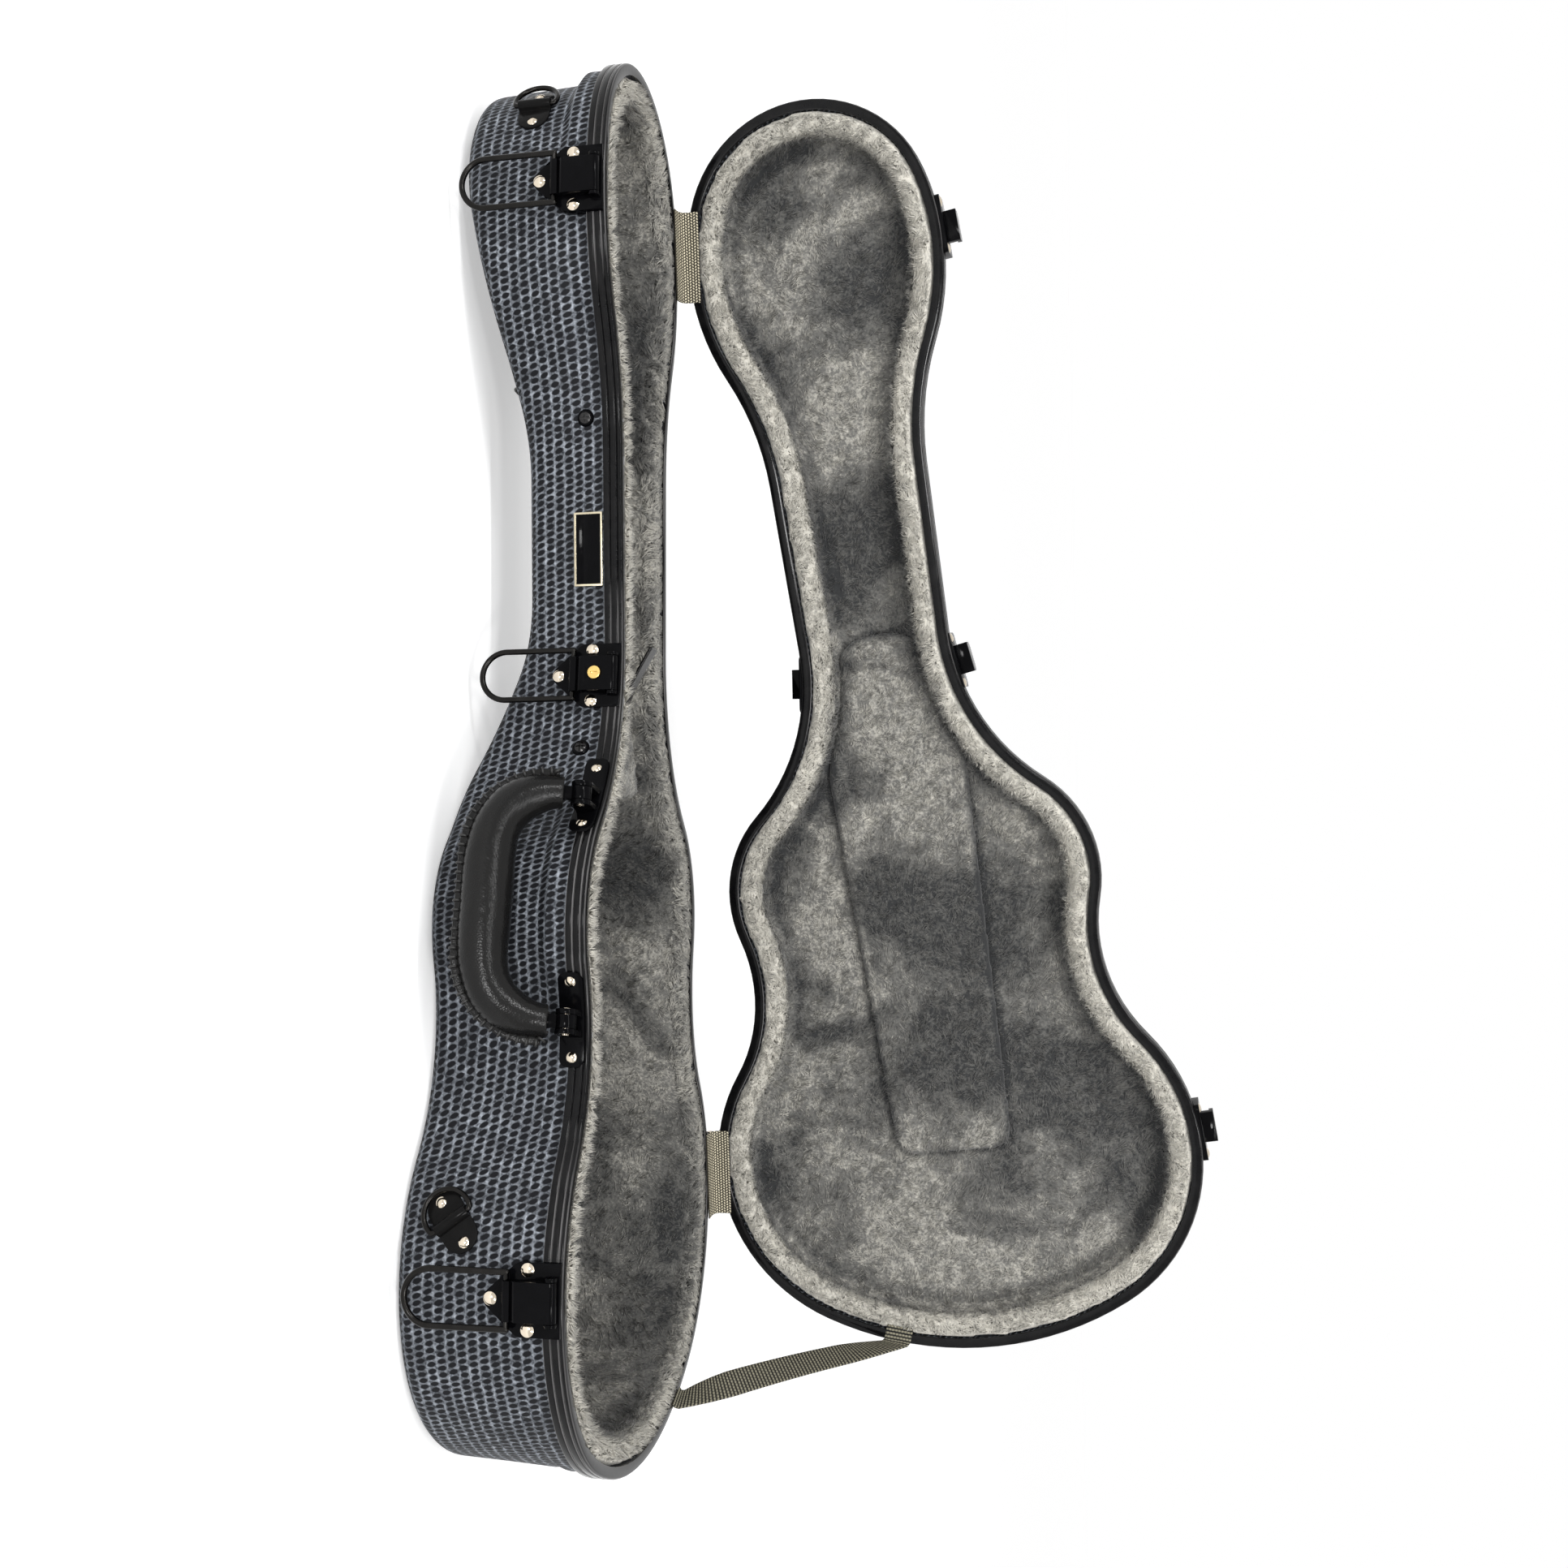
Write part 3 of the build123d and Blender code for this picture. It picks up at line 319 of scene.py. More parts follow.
def yarn_group():
    """Pale yarns that lean round staggered dark eyes, from a place on the cloth in metres."""
    group = bpy.data.node_groups.new("leaning_yarns", "ShaderNodeTree")
    group.interface.new_socket("Place", in_out="INPUT", socket_type="NodeSocketVector")
    for name in ("Height", "Fleck"):
        group.interface.new_socket(name, in_out="OUTPUT", socket_type="NodeSocketFloat")
    place = add(group, "NodeGroupInput").outputs["Place"]
    rows = np.array([[row_step[0], eye_step[0]], [row_step[1], eye_step[1]]])
    cells = []
    for line in np.linalg.inv(rows):
        dot = add(group, "ShaderNodeVectorMath", {0: place, 1: (*line, 0)}, operation="DOT_PRODUCT")
        cells.append(dot.outputs["Value"])
    part = [calc(group, "SUBTRACT", calc(group, "FRACT", cell), 0.5) for cell in cells]
    lean = np.array([math.cos(eye_lean), math.sin(eye_lean)])
    reaches = []
    for line, half in ((lean, eye_half[0]), (np.array([-lean[1], lean[0]]), eye_half[1])):
        shares = line @ rows / half
        reaches.append(calc(group, "ADD", *(calc(group, "MULTIPLY", p, s) for p, s in zip(part, shares))))
    squares = [calc(group, "MULTIPLY", reach, reach) for reach in reaches]
    height = ranged(group, calc(group, "ADD", *squares), (0.60, 1.60), interpolation_type="SMOOTHSTEP")
    floors = {i: calc(group, "FLOOR", cell) for i, cell in enumerate(cells)}
    number = add(group, "ShaderNodeCombineXYZ", floors).outputs[0]
    luck = add(group, "ShaderNodeTexWhiteNoise", {"Vector": number}).outputs["Value"]
    shine = ranged(group, calc(group, "ABSOLUTE", reaches[0]), (0.3, 1.25), (0.6, 1.0))
    bright = calc(group, "MULTIPLY", shine, ranged(group, luck, after=(0.42, 1.0)))
    fleck = calc(group, "MULTIPLY", height, bright)
    feed(group, add(group, "NodeGroupOutput"), {"Height": height, "Fleck": fleck})
    return group


row_step, eye_step = (0.0013, 0.0053), (-0.00367, 0.0)
eye_lean, eye_half = math.radians(115.0), (0.00230, 0.00130)
leaning_yarns = yarn_group()


def woven_skin():
    """Near black cloth in a net of pale slate yarns, which have worn dark in patches."""
    material, tree, shader = finish_named("woven_skin", {"Roughness": 0.5, "Specular IOR Level": 0.07})
    place = add(tree, "ShaderNodeUVMap", uv_map="skin").outputs[0]
    drift = {0: noise(tree, place, 90.0)["Color"], 3: 0.0014}
    wander = add(tree, "ShaderNodeVectorMath", drift, operation="SCALE").outputs[0]
    moved = add(tree, "ShaderNodeVectorMath", {0: place, 1: wander}, operation="ADD").outputs[0]
    yarns = add(tree, "ShaderNodeGroup", {"Place": moved}, node_tree=leaning_yarns).outputs
    patches = ranged(tree, noise(tree, place, 420.0, detail=3.0, roughness=0.65)["Fac"], (0.34, 0.66))
    pale = mixed(tree, patches, (0.050, 0.056, 0.066, 1), (0.45, 0.485, 0.54, 1))
    cloth = mixed(tree, yarns["Fleck"], (0.0085, 0.0088, 0.0105, 1), pale)
    feed(tree, shader, {"Base Color": cloth, "Normal": bump(tree, yarns["Height"], 0.6, 0.0005)})
    return material


weave = woven_skin()
for node, lid in (("base_shell", False), ("lid_shell", True)):
    shell = merged_copy(node, "woven_" + node)
    skin_map(shell, lid)
    smooth(shell, 30.0)
    shell.data.materials.append(weave)

# The mouldings round the two rims. They are black extruded plastic, with long grooves, and
# were bent round the shells and closed at the tail.
def object_place(tree):
    """A place on the piece, in metres."""
    return add(tree, "ShaderNodeTexCoord").outputs["Object"]


def stored(tree, name):
    """A number that mark() has stored for the points of a piece."""
    return add(tree, "ShaderNodeAttribute", attribute_name=name).outputs["Fac"]


def black_plastic():
    """Glossy black plastic with rub marks, and a painted highlight in pale streaks where its edge is marked.
    """
    material, tree, shader = finish_named("black_moulding", {"Specular IOR Level": 0.12})
    place = object_place(tree)
    marks = noise(tree, place, 90.0, detail=5.0, roughness=0.7)["Fac"]
    tint = ranged(tree, marks, (0.4, 0.75))
    black = mixed(tree, tint, (0.0028, 0.0028, 0.0032, 1), (0.008, 0.0077, 0.008, 1))
    # The pale streaks along the marked edge are a painted highlight.
    gleam = ranged(tree, noise(tree, place, 11.0, detail=1.0)["Fac"], (0.46, 0.62), (0.0, 0.55))
    painted_gleam = calc(tree, "MULTIPLY", stored(tree, "edge"), gleam)
    colour = mixed(tree, painted_gleam, black, (0.42, 0.41, 0.41, 1))
    rough = ranged(tree, marks, (0.35, 0.7), (0.06, 0.18))
    feed(tree, shader, {"Base Color": colour, "Roughness": rough, "Normal": bump(tree, marks, 0.06, 0.0003)})
    return material


def rounded(node, name, finish, width=0.0, degrees=35.0):
    """A CAD node's shape with its edges rounded over, in a finish."""
    piece = merged_copy(node, name)
    if width:
        apply(piece, "BEVEL", width=width, segments=2, limit_method="ANGLE", angle_limit=math.radians(32.0))
    smooth(piece, degrees)
    piece.data.materials.append(finish)
    return piece


def mark(piece, name, values):
    """Stores a number for each point of a piece."""
    layer = piece.data.attributes.get(name) or piece.data.attributes.new(name, "FLOAT", "POINT")
    layer.data.foreach_set("value", np.asarray(values, np.float32))


def painted_edge_gleam(facing):
    """How much painted highlight points get, from the way they face: most on the handle side, at the edge's
    slope.
    """
    edge_slope, slope_reach = 0.7, 0.08
    handle_side = np.clip(0.35 - 1.2 * facing[:, 1], 0, 1)
    return handle_side * np.exp(-(((abs(facing[:, 2]) - edge_slope) / slope_reach) ** 2))


moulding = black_plastic()
for node, turn in (("base_edging", np.eye(3)), ("lid_edging", turn_shut)):
    strip = rounded(node, "moulded_" + node, moulding, width=0.0004, degrees=40.0)
    facing = np.array([v.normal for v in strip.data.vertices], float)
    # The edge number says where the moulding gets its painted highlight.
    mark(strip, "edge", painted_edge_gleam(facing @ turn.T))

# The plush. Foam pads line the base and the lid, and a grey knitted pile is glued over them.
# The pile is brushed every way, and its light and dark patches are painted sheen and shade. It
# stands fuller on the roll round each rim, where painted light makes it paler.
def plush_finish():
    """Grey pile with painted sheen and shade in patches, painted light on the roll and at the tips, and
    painted shade at the tongue's seam and the roll's foot.
    """
    soft = {"Roughness": 0.95, "Sheen Weight": 0.25, "Specular IOR Level": 0.15}
    material, tree, shader = finish_named("grey_plush", soft)
    place = object_place(tree)
    broad = noise(tree, place, 15.0, detail=3.0, roughness=0.55, distortion=0.5)["Fac"]
    clumps = noise(tree, place, 150.0, detail=3.0, roughness=0.6)["Fac"]
    fine = noise(tree, place, 620.0, detail=3.0, roughness=0.7)["Fac"]
    # The broad patches are painted sheen and shade of the brushed pile.
    sheen_and_shade_patch = ranged(tree, broad, (0.40, 0.59), (0.16, 0.68))
    clump = ranged(tree, clumps, (0.3, 0.7), (-0.12, 0.12))
    speck = ranged(tree, fine, (0.3, 0.7), (-0.22, 0.22))
    # Tips are painted lighter and roots darker, as painted shade between the fibres.
    tip = calc(tree, "MULTIPLY", stored(tree, "tip"), 0.36)
    # Painted shade along the tongue's seam, and a painted shadow at the roll's foot.
    painted_shade = calc(tree, "MULTIPLY", stored(tree, "painted_shade"), 0.3)
    # The roll is painted paler, as painted light on the raised pile.
    roll = calc(tree, "MULTIPLY", stored(tree, "roll"), 0.98)
    painted_light_and_shade = calc(tree, "SUBTRACT", calc(tree, "SUBTRACT", tip, painted_shade), 0.09)
    grain = calc(tree, "ADD", calc(tree, "ADD", clump, speck), painted_light_and_shade)
    shade = calc(tree, "ADD", calc(tree, "MAXIMUM", sheen_and_shade_patch, roll), grain)
    ramp = add(tree, "ShaderNodeValToRGB", {0: shade})
    ramp.color_ramp.elements[0].color = (0.030, 0.031, 0.032, 1)
    ramp.color_ramp.elements[1].color = (0.62, 0.595, 0.53, 1)
    middle = ramp.color_ramp.elements.new(0.5)
    middle.color = (0.162, 0.159, 0.148, 1)
    feed(tree, shader, {"Base Color": ramp.outputs[0], "Normal": bump(tree, fine, 0.6, 0.001)})
    return material


def clouds(name, size):
    """A cloudy texture with lumps of a size in metres."""
    texture = bpy.data.textures.new(name, "CLOUDS")
    texture.noise_scale = size
    texture.noise_depth = 2
    return texture


plush = plush_finish()
pad_lumps = clouds("pad_lumps", 0.035)
pile_clumps = clouds("pile_clumps", 0.0045)


def ripples(points, scale):
    """A smooth number from -1 to 1 that drifts over the object, the same at each run."""
    waves = ((1.0, 0.7, 0.4, 0.3), (-0.6, 1.1, 0.8, 1.9), (0.5, -0.9, 1.2, 4.1), (1.3, 0.2, -1.0, 2.6))
    total = sum(np.sin((points @ np.array(w[:3])) / scale + w[3]) for w in waves)
    return total / len(waves)


def padding(node, name, voxel, open_faces, lid=False, lumps=0.0016):
    """A pad in the CAD solid's place, with soft edges and a clumped surface where its pile shows."""
    piece = merged_copy(node, name)
    apply(piece, "REMESH", mode="VOXEL", voxel_size=voxel, use_smooth_shade=True)
    apply(piece, "SMOOTH", factor=0.5, iterations=4)
    mesh = piece.data
    places = points_of(mesh)
    normals = np.array([v.normal for v in mesh.vertices], float)
    shown = open_faces(places, normals)
    clump_height = 0.0013
    group = piece.vertex_groups.new(name="pile")
    for index in np.flatnonzero(shown):
        group.add([int(index)], 1.0, "REPLACE")
    swelling = {"mid_level": 0.55, "texture_coords": "LOCAL", "vertex_group": "pile"}
    for texture, strength in ((pad_lumps, lumps), (pile_clumps, clump_height)):
        apply(piece, "DISPLACE", texture=texture, strength=strength, **swelling)
    # These store painted light for the roll, and painted shade at the tongue's seam and the roll's foot.
    mark(piece, "roll", roll_share(points_of(piece.data), lid))
    mark(piece, "painted_shade", painted_shade_share(points_of(piece.data), lid))
    piece.data.materials.append(plush)
    return piece


rim_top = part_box("base_edging")[1].z


def roll_share(places, lid):
    """How near points are to the roll round the rim, from 0 to 1, and less on the base's far side. As a
    colour it is painted light on the roll, dimmer on that side.
    """
    roll_end, roll_fade = (0.0225 if lid else 0.0215), 0.004
    lid_height, lid_fade, base_depth, base_fade, far_loss = 0.014, 0.006, 0.016, 0.008, 0.38
    places = shut(places) if lid else places
    _, inside, out = along_rim(places)
    near = np.clip((roll_end - inside) / roll_fade, 0, 1)
    if lid:
        return near * np.clip((rim_top + lid_height - places[:, 2]) / lid_fade, 0, 1)
    share = near * np.clip((places[:, 2] - rim_top + base_depth) / base_fade, 0, 1)
    # The roll gets less painted light on the base's far side.
    return share * (1 - far_loss * out[:, 1].clip(0, 1))


out_limit, under_limit, roll_limit = 0.45, 0.3, 0.35


def base_open(places, normals):
    """True where the base's padding faces the room inside."""
    _, _, out = along_rim(places)
    away = (normals[:, :2] * out).sum(1)
    return (away < out_limit) & (normals[:, 2] > -under_limit)


def lid_open(places, normals):
    """True where the lid's padding faces the room inside."""
    facing = normals @ turn_shut.T
    _, _, out = along_rim(shut(places))
    away = (facing[:, :2] * out).sum(1)
    return (away < out_limit) & (facing[:, 2] < under_limit)


def painted_shade_share(places, lid):
    """How much painted shade points of the lid get, from 0 to 1: near the tongue's seam, and a painted
    shadow near the foot of the roll.
    """
    if not lid:
        return np.zeros(len(places))
    flat = shut(places)[:, :2]
    ends = np.roll(tongue_line, -1, axis=0) - tongue_line
    far = np.full(len(flat), 1.0)
    for start, step in zip(tongue_line, ends):
        share = ((flat - start) @ step / (step @ step)).clip(0, 1)
        far = np.minimum(far, np.linalg.norm(flat - start - share[:, None] * step, axis=1))
    _, inside, _ = along_rim(shut(places))
    # The band at the roll's foot is a painted shadow of the roll on the lid's floor.
    foot_start, foot_end, seam_reach = 0.0205, 0.031, 0.0028
    foot = 0.8 * np.clip((foot_end - inside) / 0.008, 0, 1) * np.clip((inside - foot_start) / 0.002, 0, 1)
    return np.maximum(np.clip(1.2 - far / seam_reach, 0, 1), foot)


turn_open = Matrix.Rotation(-closing, 3, hinge_line)
base_up = Vector((0, 0, 1))
lid_up = turn_open @ base_up
tongue_flat = np.unique(shut(points_of(frame["nodes"]["lid_center_pad"].data))[:, :2].round(5), axis=0)
tongue_line = tongue_flat[convex_hull_2d([Vector(spot) for spot in tongue_flat])]
edge_width = 0.0093
tufts_per_clump, clump_reach, clump_pull = 11, 0.006, 0.4
swirl_share, clump_share, own_share = 1.3, 0.7, 0.3
tuft_thickness, root_depth = 0.00042, 0.0006
stands_from, base_gap, lid_gap = 0.5, 0.0004, 0.0006
base_reach, lid_reach, far_drop, press_depth = 0.003, 0.006, 0.0028, 0.0022


def pile(
    piece, name, body, count, length, open_faces, lid=False,
    brushed=(0.0, 0.0, -1.0), seed=1, standing=(0.22, 0.42), outward=0.0,
):
    """Tufts of pile rooted in a pad and brushed along it in clumps, each a slim closed spike. All
    tips keep clear of the moulding. Tufts that lie keep within the rim's plane by a gap, and tufts
    that stand may reach a little past it."""
    draw = np.random.default_rng(seed)
    mesh = piece.data
    mesh.calc_loop_triangles()
    corners = np.array([t.vertices for t in mesh.loop_triangles])
    places = points_of(mesh)
    a, b, c = (places[corners[:, i]] for i in range(3))
    cross = np.cross(b - a, c - a)
    area = np.linalg.norm(cross, axis=1) / 2
    facing = cross / np.maximum(2 * area, 1e-12)[:, None]
    area = area * open_faces((a + b + c) / 3, facing)
    chosen = draw.choice(len(area), count, p=area / area.sum())
    u, v = draw.random((2, count))
    fold = u + v > 1
    u[fold], v[fold] = 1 - u[fold], 1 - v[fold]
    roots = a[chosen] + u[:, None] * (b - a)[chosen] + v[:, None] * (c - a)[chosen]
    up = facing[chosen]
    clumps = count // tufts_per_clump
    tree = KDTree(clumps)
    for index in range(clumps):
        tree.insert(roots[index], index)
    tree.balance()
    clump = np.array([tree.find(root)[1] for root in roots])
    swirl = np.stack([ripples(roots + shift, 0.018) for shift in (0.0, 0.31, 0.67)], axis=1)
    own = draw.normal(size=(count, 3))
    _, _, out = along_rim(shut(roots) if lid else roots)
    lay = np.array(brushed) + swirl_share * swirl[clump] + clump_share * own[clump] + own_share * own
    lay[:, :2] += outward * out
    lay -= (lay * up).sum(1)[:, None] * up
    lay /= np.maximum(np.linalg.norm(lay, axis=1), 1e-9)[:, None]
    side = np.cross(up, lay)
    tall = length * draw.uniform(0.65, 1.2, count)[:, None]
    rise = draw.uniform(*standing, count)[:, None]
    tips = roots + tall * (lay * np.sqrt(1 - rise**2) + up * rise)
    near = np.linalg.norm(roots[clump] - roots, axis=1)[:, None] < clump_reach
    tips += clump_pull * (tips[clump] - tips) * near
    _, inside, out = along_rim(shut(tips) if lid else tips)
    over = np.maximum(edge_width - inside, 0)[:, None]
    out = np.concatenate([out, np.zeros((count, 1))], axis=1)
    tips -= over * (out @ np.array(turn_open).T if lid else out)
    stands = standing[1] > stands_from
    if lid:
        stop = rim_top + (-lid_reach if stands else lid_gap)
        low = np.maximum(stop - shut(tips)[:, 2], 0)
        tips += low[:, None] * np.array(lid_up)
    else:
        stop = rim_top + (base_reach - far_drop * out[:, 1].clip(0, 1) if stands else -base_gap)
        tips[:, 2] = np.minimum(tips[:, 2], stop)
    thick = tuft_thickness * draw.uniform(0.7, 1.3, count)[:, None]
    sunk = roots - root_depth * up
    ridge = sunk + 1.2 * thick * up + thick * lay
    spikes = np.stack([sunk + thick * side, sunk - thick * side, ridge, tips], axis=1)
    faces = np.array([[0, 2, 1], [0, 3, 2], [2, 3, 1], [1, 3, 0]])
    index = (np.arange(count)[:, None, None] * 4 + faces).reshape(-1, 3)
    tufts = bpy.data.meshes.new(name)
    tufts.from_pydata(spikes.reshape(-1, 3).tolist(), [], index.tolist())
    result = bpy.data.objects.new(name, tufts)
    bpy.context.scene.collection.objects.link(result)
    edit_all(result, bpy.ops.mesh.normals_make_consistent, inside=False)
    bpy.ops.object.shade_smooth()
    # These store painted light for the roll, and painted shade at the tongue's seam and the roll's foot.
    mark(result, "roll", roll_share(points_of(tufts), lid))
    mark(result, "painted_shade", painted_shade_share(points_of(tufts), lid))
    # The tip number paints each tuft lighter at its tip and darker at its root, as painted shade between the
    # fibres.
    mark(result, "tip", np.tile([0.0, 0.0, 0.0, 1.0], count))
    tufts.materials.append(plush)
    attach(result, body)
    if stands:
        foot = Vector((hinge_place.x, hinge_place.y, rim_top + (press_depth if lid else -press_depth)))
        foot = hinge_place + turn_open @ (foot - hinge_place) if lid else foot
        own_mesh(result)
        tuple(foot)
    return result


base_pad = padding("base_lining", "base_padding", 0.0031, base_open)
pile(base_pad, "base_pile", "base", 46000, 0.0052, base_open, seed=11)
upright = (0.35, 0.8)


def base_roll(places, normals):
    """True on the roll round the base's rim."""
    return base_open(places, normals) & (roll_share(places, False) > roll_limit)


pile(
    base_pad, "base_roll_pile", "base", 30000, 0.0082, base_roll,
    brushed=(0.0, 0.0, 0.9), seed=21, standing=upright, outward=0.9,
)

# The neck block. It is foam with the same plush over it, rounded over at both ends, and the
# neck of the instrument lies on it. A pocket under a small lid is cut into it.
def block_open(places, normals):
    """True on the neck block where it faces the room inside, away from the walls."""
    _, inside, _ = along_rim(places)
    return (normals[:, 2] > -under_limit) & (inside > 0.0175)


neck_pad = padding("neck_block", "neck_padding", 0.0022, block_open, lumps=0.0009)
pile(neck_pad, "neck_pile", "base", 9000, 0.0042, block_open, brushed=(0.6, 0.0, 0.0), seed=12)


def everywhere(places, normals):
    """True all over a pad but underneath."""
    return normals[:, 2] > -0.2


pocket_lid = padding("compartment_lid", "pocket_lid", 0.0013, everywhere, lumps=0.0002)
pile(
    pocket_lid, "pocket_lid_pile", "compartment_lid", 3600, 0.0036, everywhere,
    brushed=(0.6, 0.0, 0.0), seed=13,
)

# The lid's padding, with its roll, and the tongue shaped pad that presses on the instrument's
# neck and body. Both are foam under the plush, and a crease runs where they meet, darkened with painted
# shade.
lid_pad = padding("lid_lining", "lid_padding", 0.0029, lid_open, lid=True)
pile(lid_pad, "lid_pile", "lid", 48000, 0.0054, lid_open, lid=True, brushed=(0.5, 0.0, -0.6), seed=14)


def lid_roll(places, normals):
    """True on the roll round the lid's rim."""
    return lid_open(places, normals) & (roll_share(places, True) > roll_limit)


pile(
    lid_pad, "lid_roll_pile", "lid", 22000, 0.0062, lid_roll, lid=True,
    brushed=(0.0, -0.5, 0.0), seed=22, standing=upright,
)
tongue = padding("lid_center_pad", "tongue_padding", 0.0020, lid_open, lid=True, lumps=0.0012)
pile(tongue, "tongue_pile", "lid", 12000, 0.0050, lid_open, lid=True, brushed=(0.6, 0.0, -0.4), seed=15)

# The webbing. Herringbone tape is glued over each hinge and across to the lid, and a narrower
# ribbed tape is the strap that stops the lid. Both are olive grey, with a pale thread.
def band(name, path, across, width, thickness, steps=40, ribs=12):
    """A woven tape of even width along a path, with its own map, its edges rounded over."""
    path, across = np.array(path, float), np.array(across, float)
    run = run_along(path)
    at = np.linspace(0, run[-1], steps + 1)
    line = np.stack([np.interp(at, run, path[:, i]) for i in range(3)], axis=1)
    wide = np.stack([np.interp(at, run, across[:, i]) for i in range(3)], axis=1)
    wide /= np.linalg.norm(wide, axis=1)[:, None]
    spread = np.linspace(-0.5, 0.5, ribs + 1)
    bpy.ops.mesh.primitive_grid_add(x_subdivisions=ribs, y_subdivisions=steps, size=1.0)
    piece = bpy.context.object
    piece.name = name
    mesh = piece.data
    layer = mesh.uv_layers[0]
    layer.name = "tape"
    on_tape = {}
    for vertex in mesh.vertices:
        column = int(round((vertex.co.x + 0.5) * ribs))
        row = int(round((vertex.co.y + 0.5) * steps))
        vertex.co = Vector(line[row] + wide[row] * spread[column] * width)
        on_tape[vertex.index] = (spread[column] * width, at[row])
    for loop in mesh.loops:
        layer.data[loop.index].uv = on_tape[loop.vertex_index]
    corner = math.radians(50.0)
    apply(piece, "SOLIDIFY", thickness=thickness, offset=0.0)
    apply(piece, "BEVEL", width=thickness * 0.3, segments=2, limit_method="ANGLE", angle_limit=corner)
    select(piece)
    bpy.ops.object.shade_smooth()
    return piece


def humps(tree, run):
    """Round humps in a row, one for each whole number that a run passes."""
    off = calc(tree, "ABSOLUTE", calc(tree, "SUBTRACT", calc(tree, "FRACT", run), 0.5))
    return calc(tree, "COSINE", calc(tree, "MULTIPLY", off, math.pi))


def tape_finish(name, bead, rib, ground, thread, chevron):
    """Woven tape: columns of pale beads on a dark ground, each column half a bead on from the
    last, and slanting in turn where the tape has chevrons."""
    material, tree, shader = finish_named(name, {"Roughness": 0.8})
    place = add(tree, "ShaderNodeUVMap", uv_map="tape").outputs[0]
    axes = add(tree, "ShaderNodeSeparateXYZ", {0: place}).outputs
    across = calc(tree, "DIVIDE", axes[1], rib)
    column = calc(tree, "MULTIPLY", across, 2.0)
    lean = calc(tree, "MULTIPLY", calc(tree, "PINGPONG", across, 0.5), chevron)
    step = calc(tree, "MULTIPLY", calc(tree, "FLOOR", column), 0.5)
    along = calc(tree, "ADD", calc(tree, "DIVIDE", axes[0], bead), calc(tree, "ADD", lean, step))
    swell = humps(tree, along)
    if not chevron:
        swell = calc(tree, "ADD", calc(tree, "MULTIPLY", swell, 0.4), 0.65)
    height = calc(tree, "MULTIPLY", humps(tree, column), swell)
    fuzz = noise(tree, object_place(tree), 900.0, detail=3.0)["Fac"]
    worn = calc(tree, "ADD", height, calc(tree, "MULTIPLY", calc(tree, "SUBTRACT", fuzz, 0.5), 0.5))
    share = ranged(tree, worn, (0.28, 0.80) if chevron else (0.45, 0.95))
    colour = mixed(tree, share, ground, thread)
    feed(tree, shader, {"Base Color": colour, "Normal": bump(tree, height, 0.9, 0.0006)})
    return material


herringbone = tape_finish(
    "herringbone_tape", bead=0.00165, rib=0.0034,
    ground=(0.026, 0.022, 0.012, 1), thread=(0.74, 0.67, 0.50, 1), chevron=0.8,
)
ribbed = tape_finish(
    "ribbed_tape", bead=0.0019, rib=0.0042,
    ground=(0.012, 0.0115, 0.008, 1), thread=(0.27, 0.25, 0.18, 1), chevron=0.0,
)
hinge_side = Vector((-hinge_line.y, hinge_line.x, 0.0))
tape_profile = (
    (-0.012, 0.0006), (-0.0075, 0.0007), (-0.0045, 0.0011), (-0.0022, 0.0024),
    (-0.0009, 0.0046), (-0.0009, 0.0082), (-0.001, 0.012),
)
for end in ("head", "tail"):
    low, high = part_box("hinge_webbing_" + end)
    reach = ((low.x + high.x) / 2 - hinge_place.x) / hinge_line.x
    centre = hinge_place + hinge_line * reach
    route = [centre + hinge_side * y + Vector((0, 0, z)) for y, z in tape_profile]
    across = [hinge_line] * len(route)
    tape = band("hinge_tape_" + end, route, across, width=0.052, thickness=0.0009, steps=22, ribs=26)
    tape.data.materials.append(herringbone)
    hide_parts("hinge_webbing_" + end)
    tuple(route[1])
    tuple(route[-2])
    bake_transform(tape)


def on_lid(x, y, z):
    """A place on the shut lid, turned to where it is with the lid open."""
    return hinge_place + turn_open @ (Vector((x, y, z)) - hinge_place)


def along_base(x, y):
    """The way that the rim runs beside a place on the base."""
    _, _, out = along_rim(np.array([[x, y, 0.0]]))
    return Vector((-out[0, 1], out[0, 0], 0.0))


base_spot, lid_spot = (0.1705, 0.062), (0.1735, 0.050)
base_end, lid_end = Vector((*base_spot, rim_top + 0.0011)), on_lid(*lid_spot, rim_top - 0.0011)
base_way, lid_way = along_base(*base_spot), turn_open @ along_base(*lid_spot)
strap_line = lid_end - base_end
strap_sag = Vector((-0.0015, -0.001, -0.0035))
strap_route, strap_widths, spans = [Vector((0.160, 0.057, rim_top - 0.004))], [], 12
for step in range(spans + 1):
    share = step / spans
    sag = 4 * share * (1 - share)
    strap_route.append(base_end + strap_line * share + strap_sag * sag)
    free = Matrix.Rotation(math.radians(-42 - 30 * share), 3, strap_line.normalized()) @ Vector((1, 0, 0))
    for fixed, hold in ((base_way, 1 - 4 * share), (lid_way, 4 * share - 3)):
        if hold > 0:
            free = free.lerp(fixed * (1 if fixed.dot(free) > 0 else -1), hold)
    strap_widths.append(free)
strap_route.append(on_lid(0.162, 0.046, rim_top + 0.0035))
strap_widths = [strap_widths[0], *strap_widths, strap_widths[-1]]
strap = band("lid_strap", strap_route, strap_widths, width=0.016, thickness=0.0012, steps=60, ribs=8)
strap.data.materials.append(ribbed)
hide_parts("stay_strap")
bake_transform(strap)

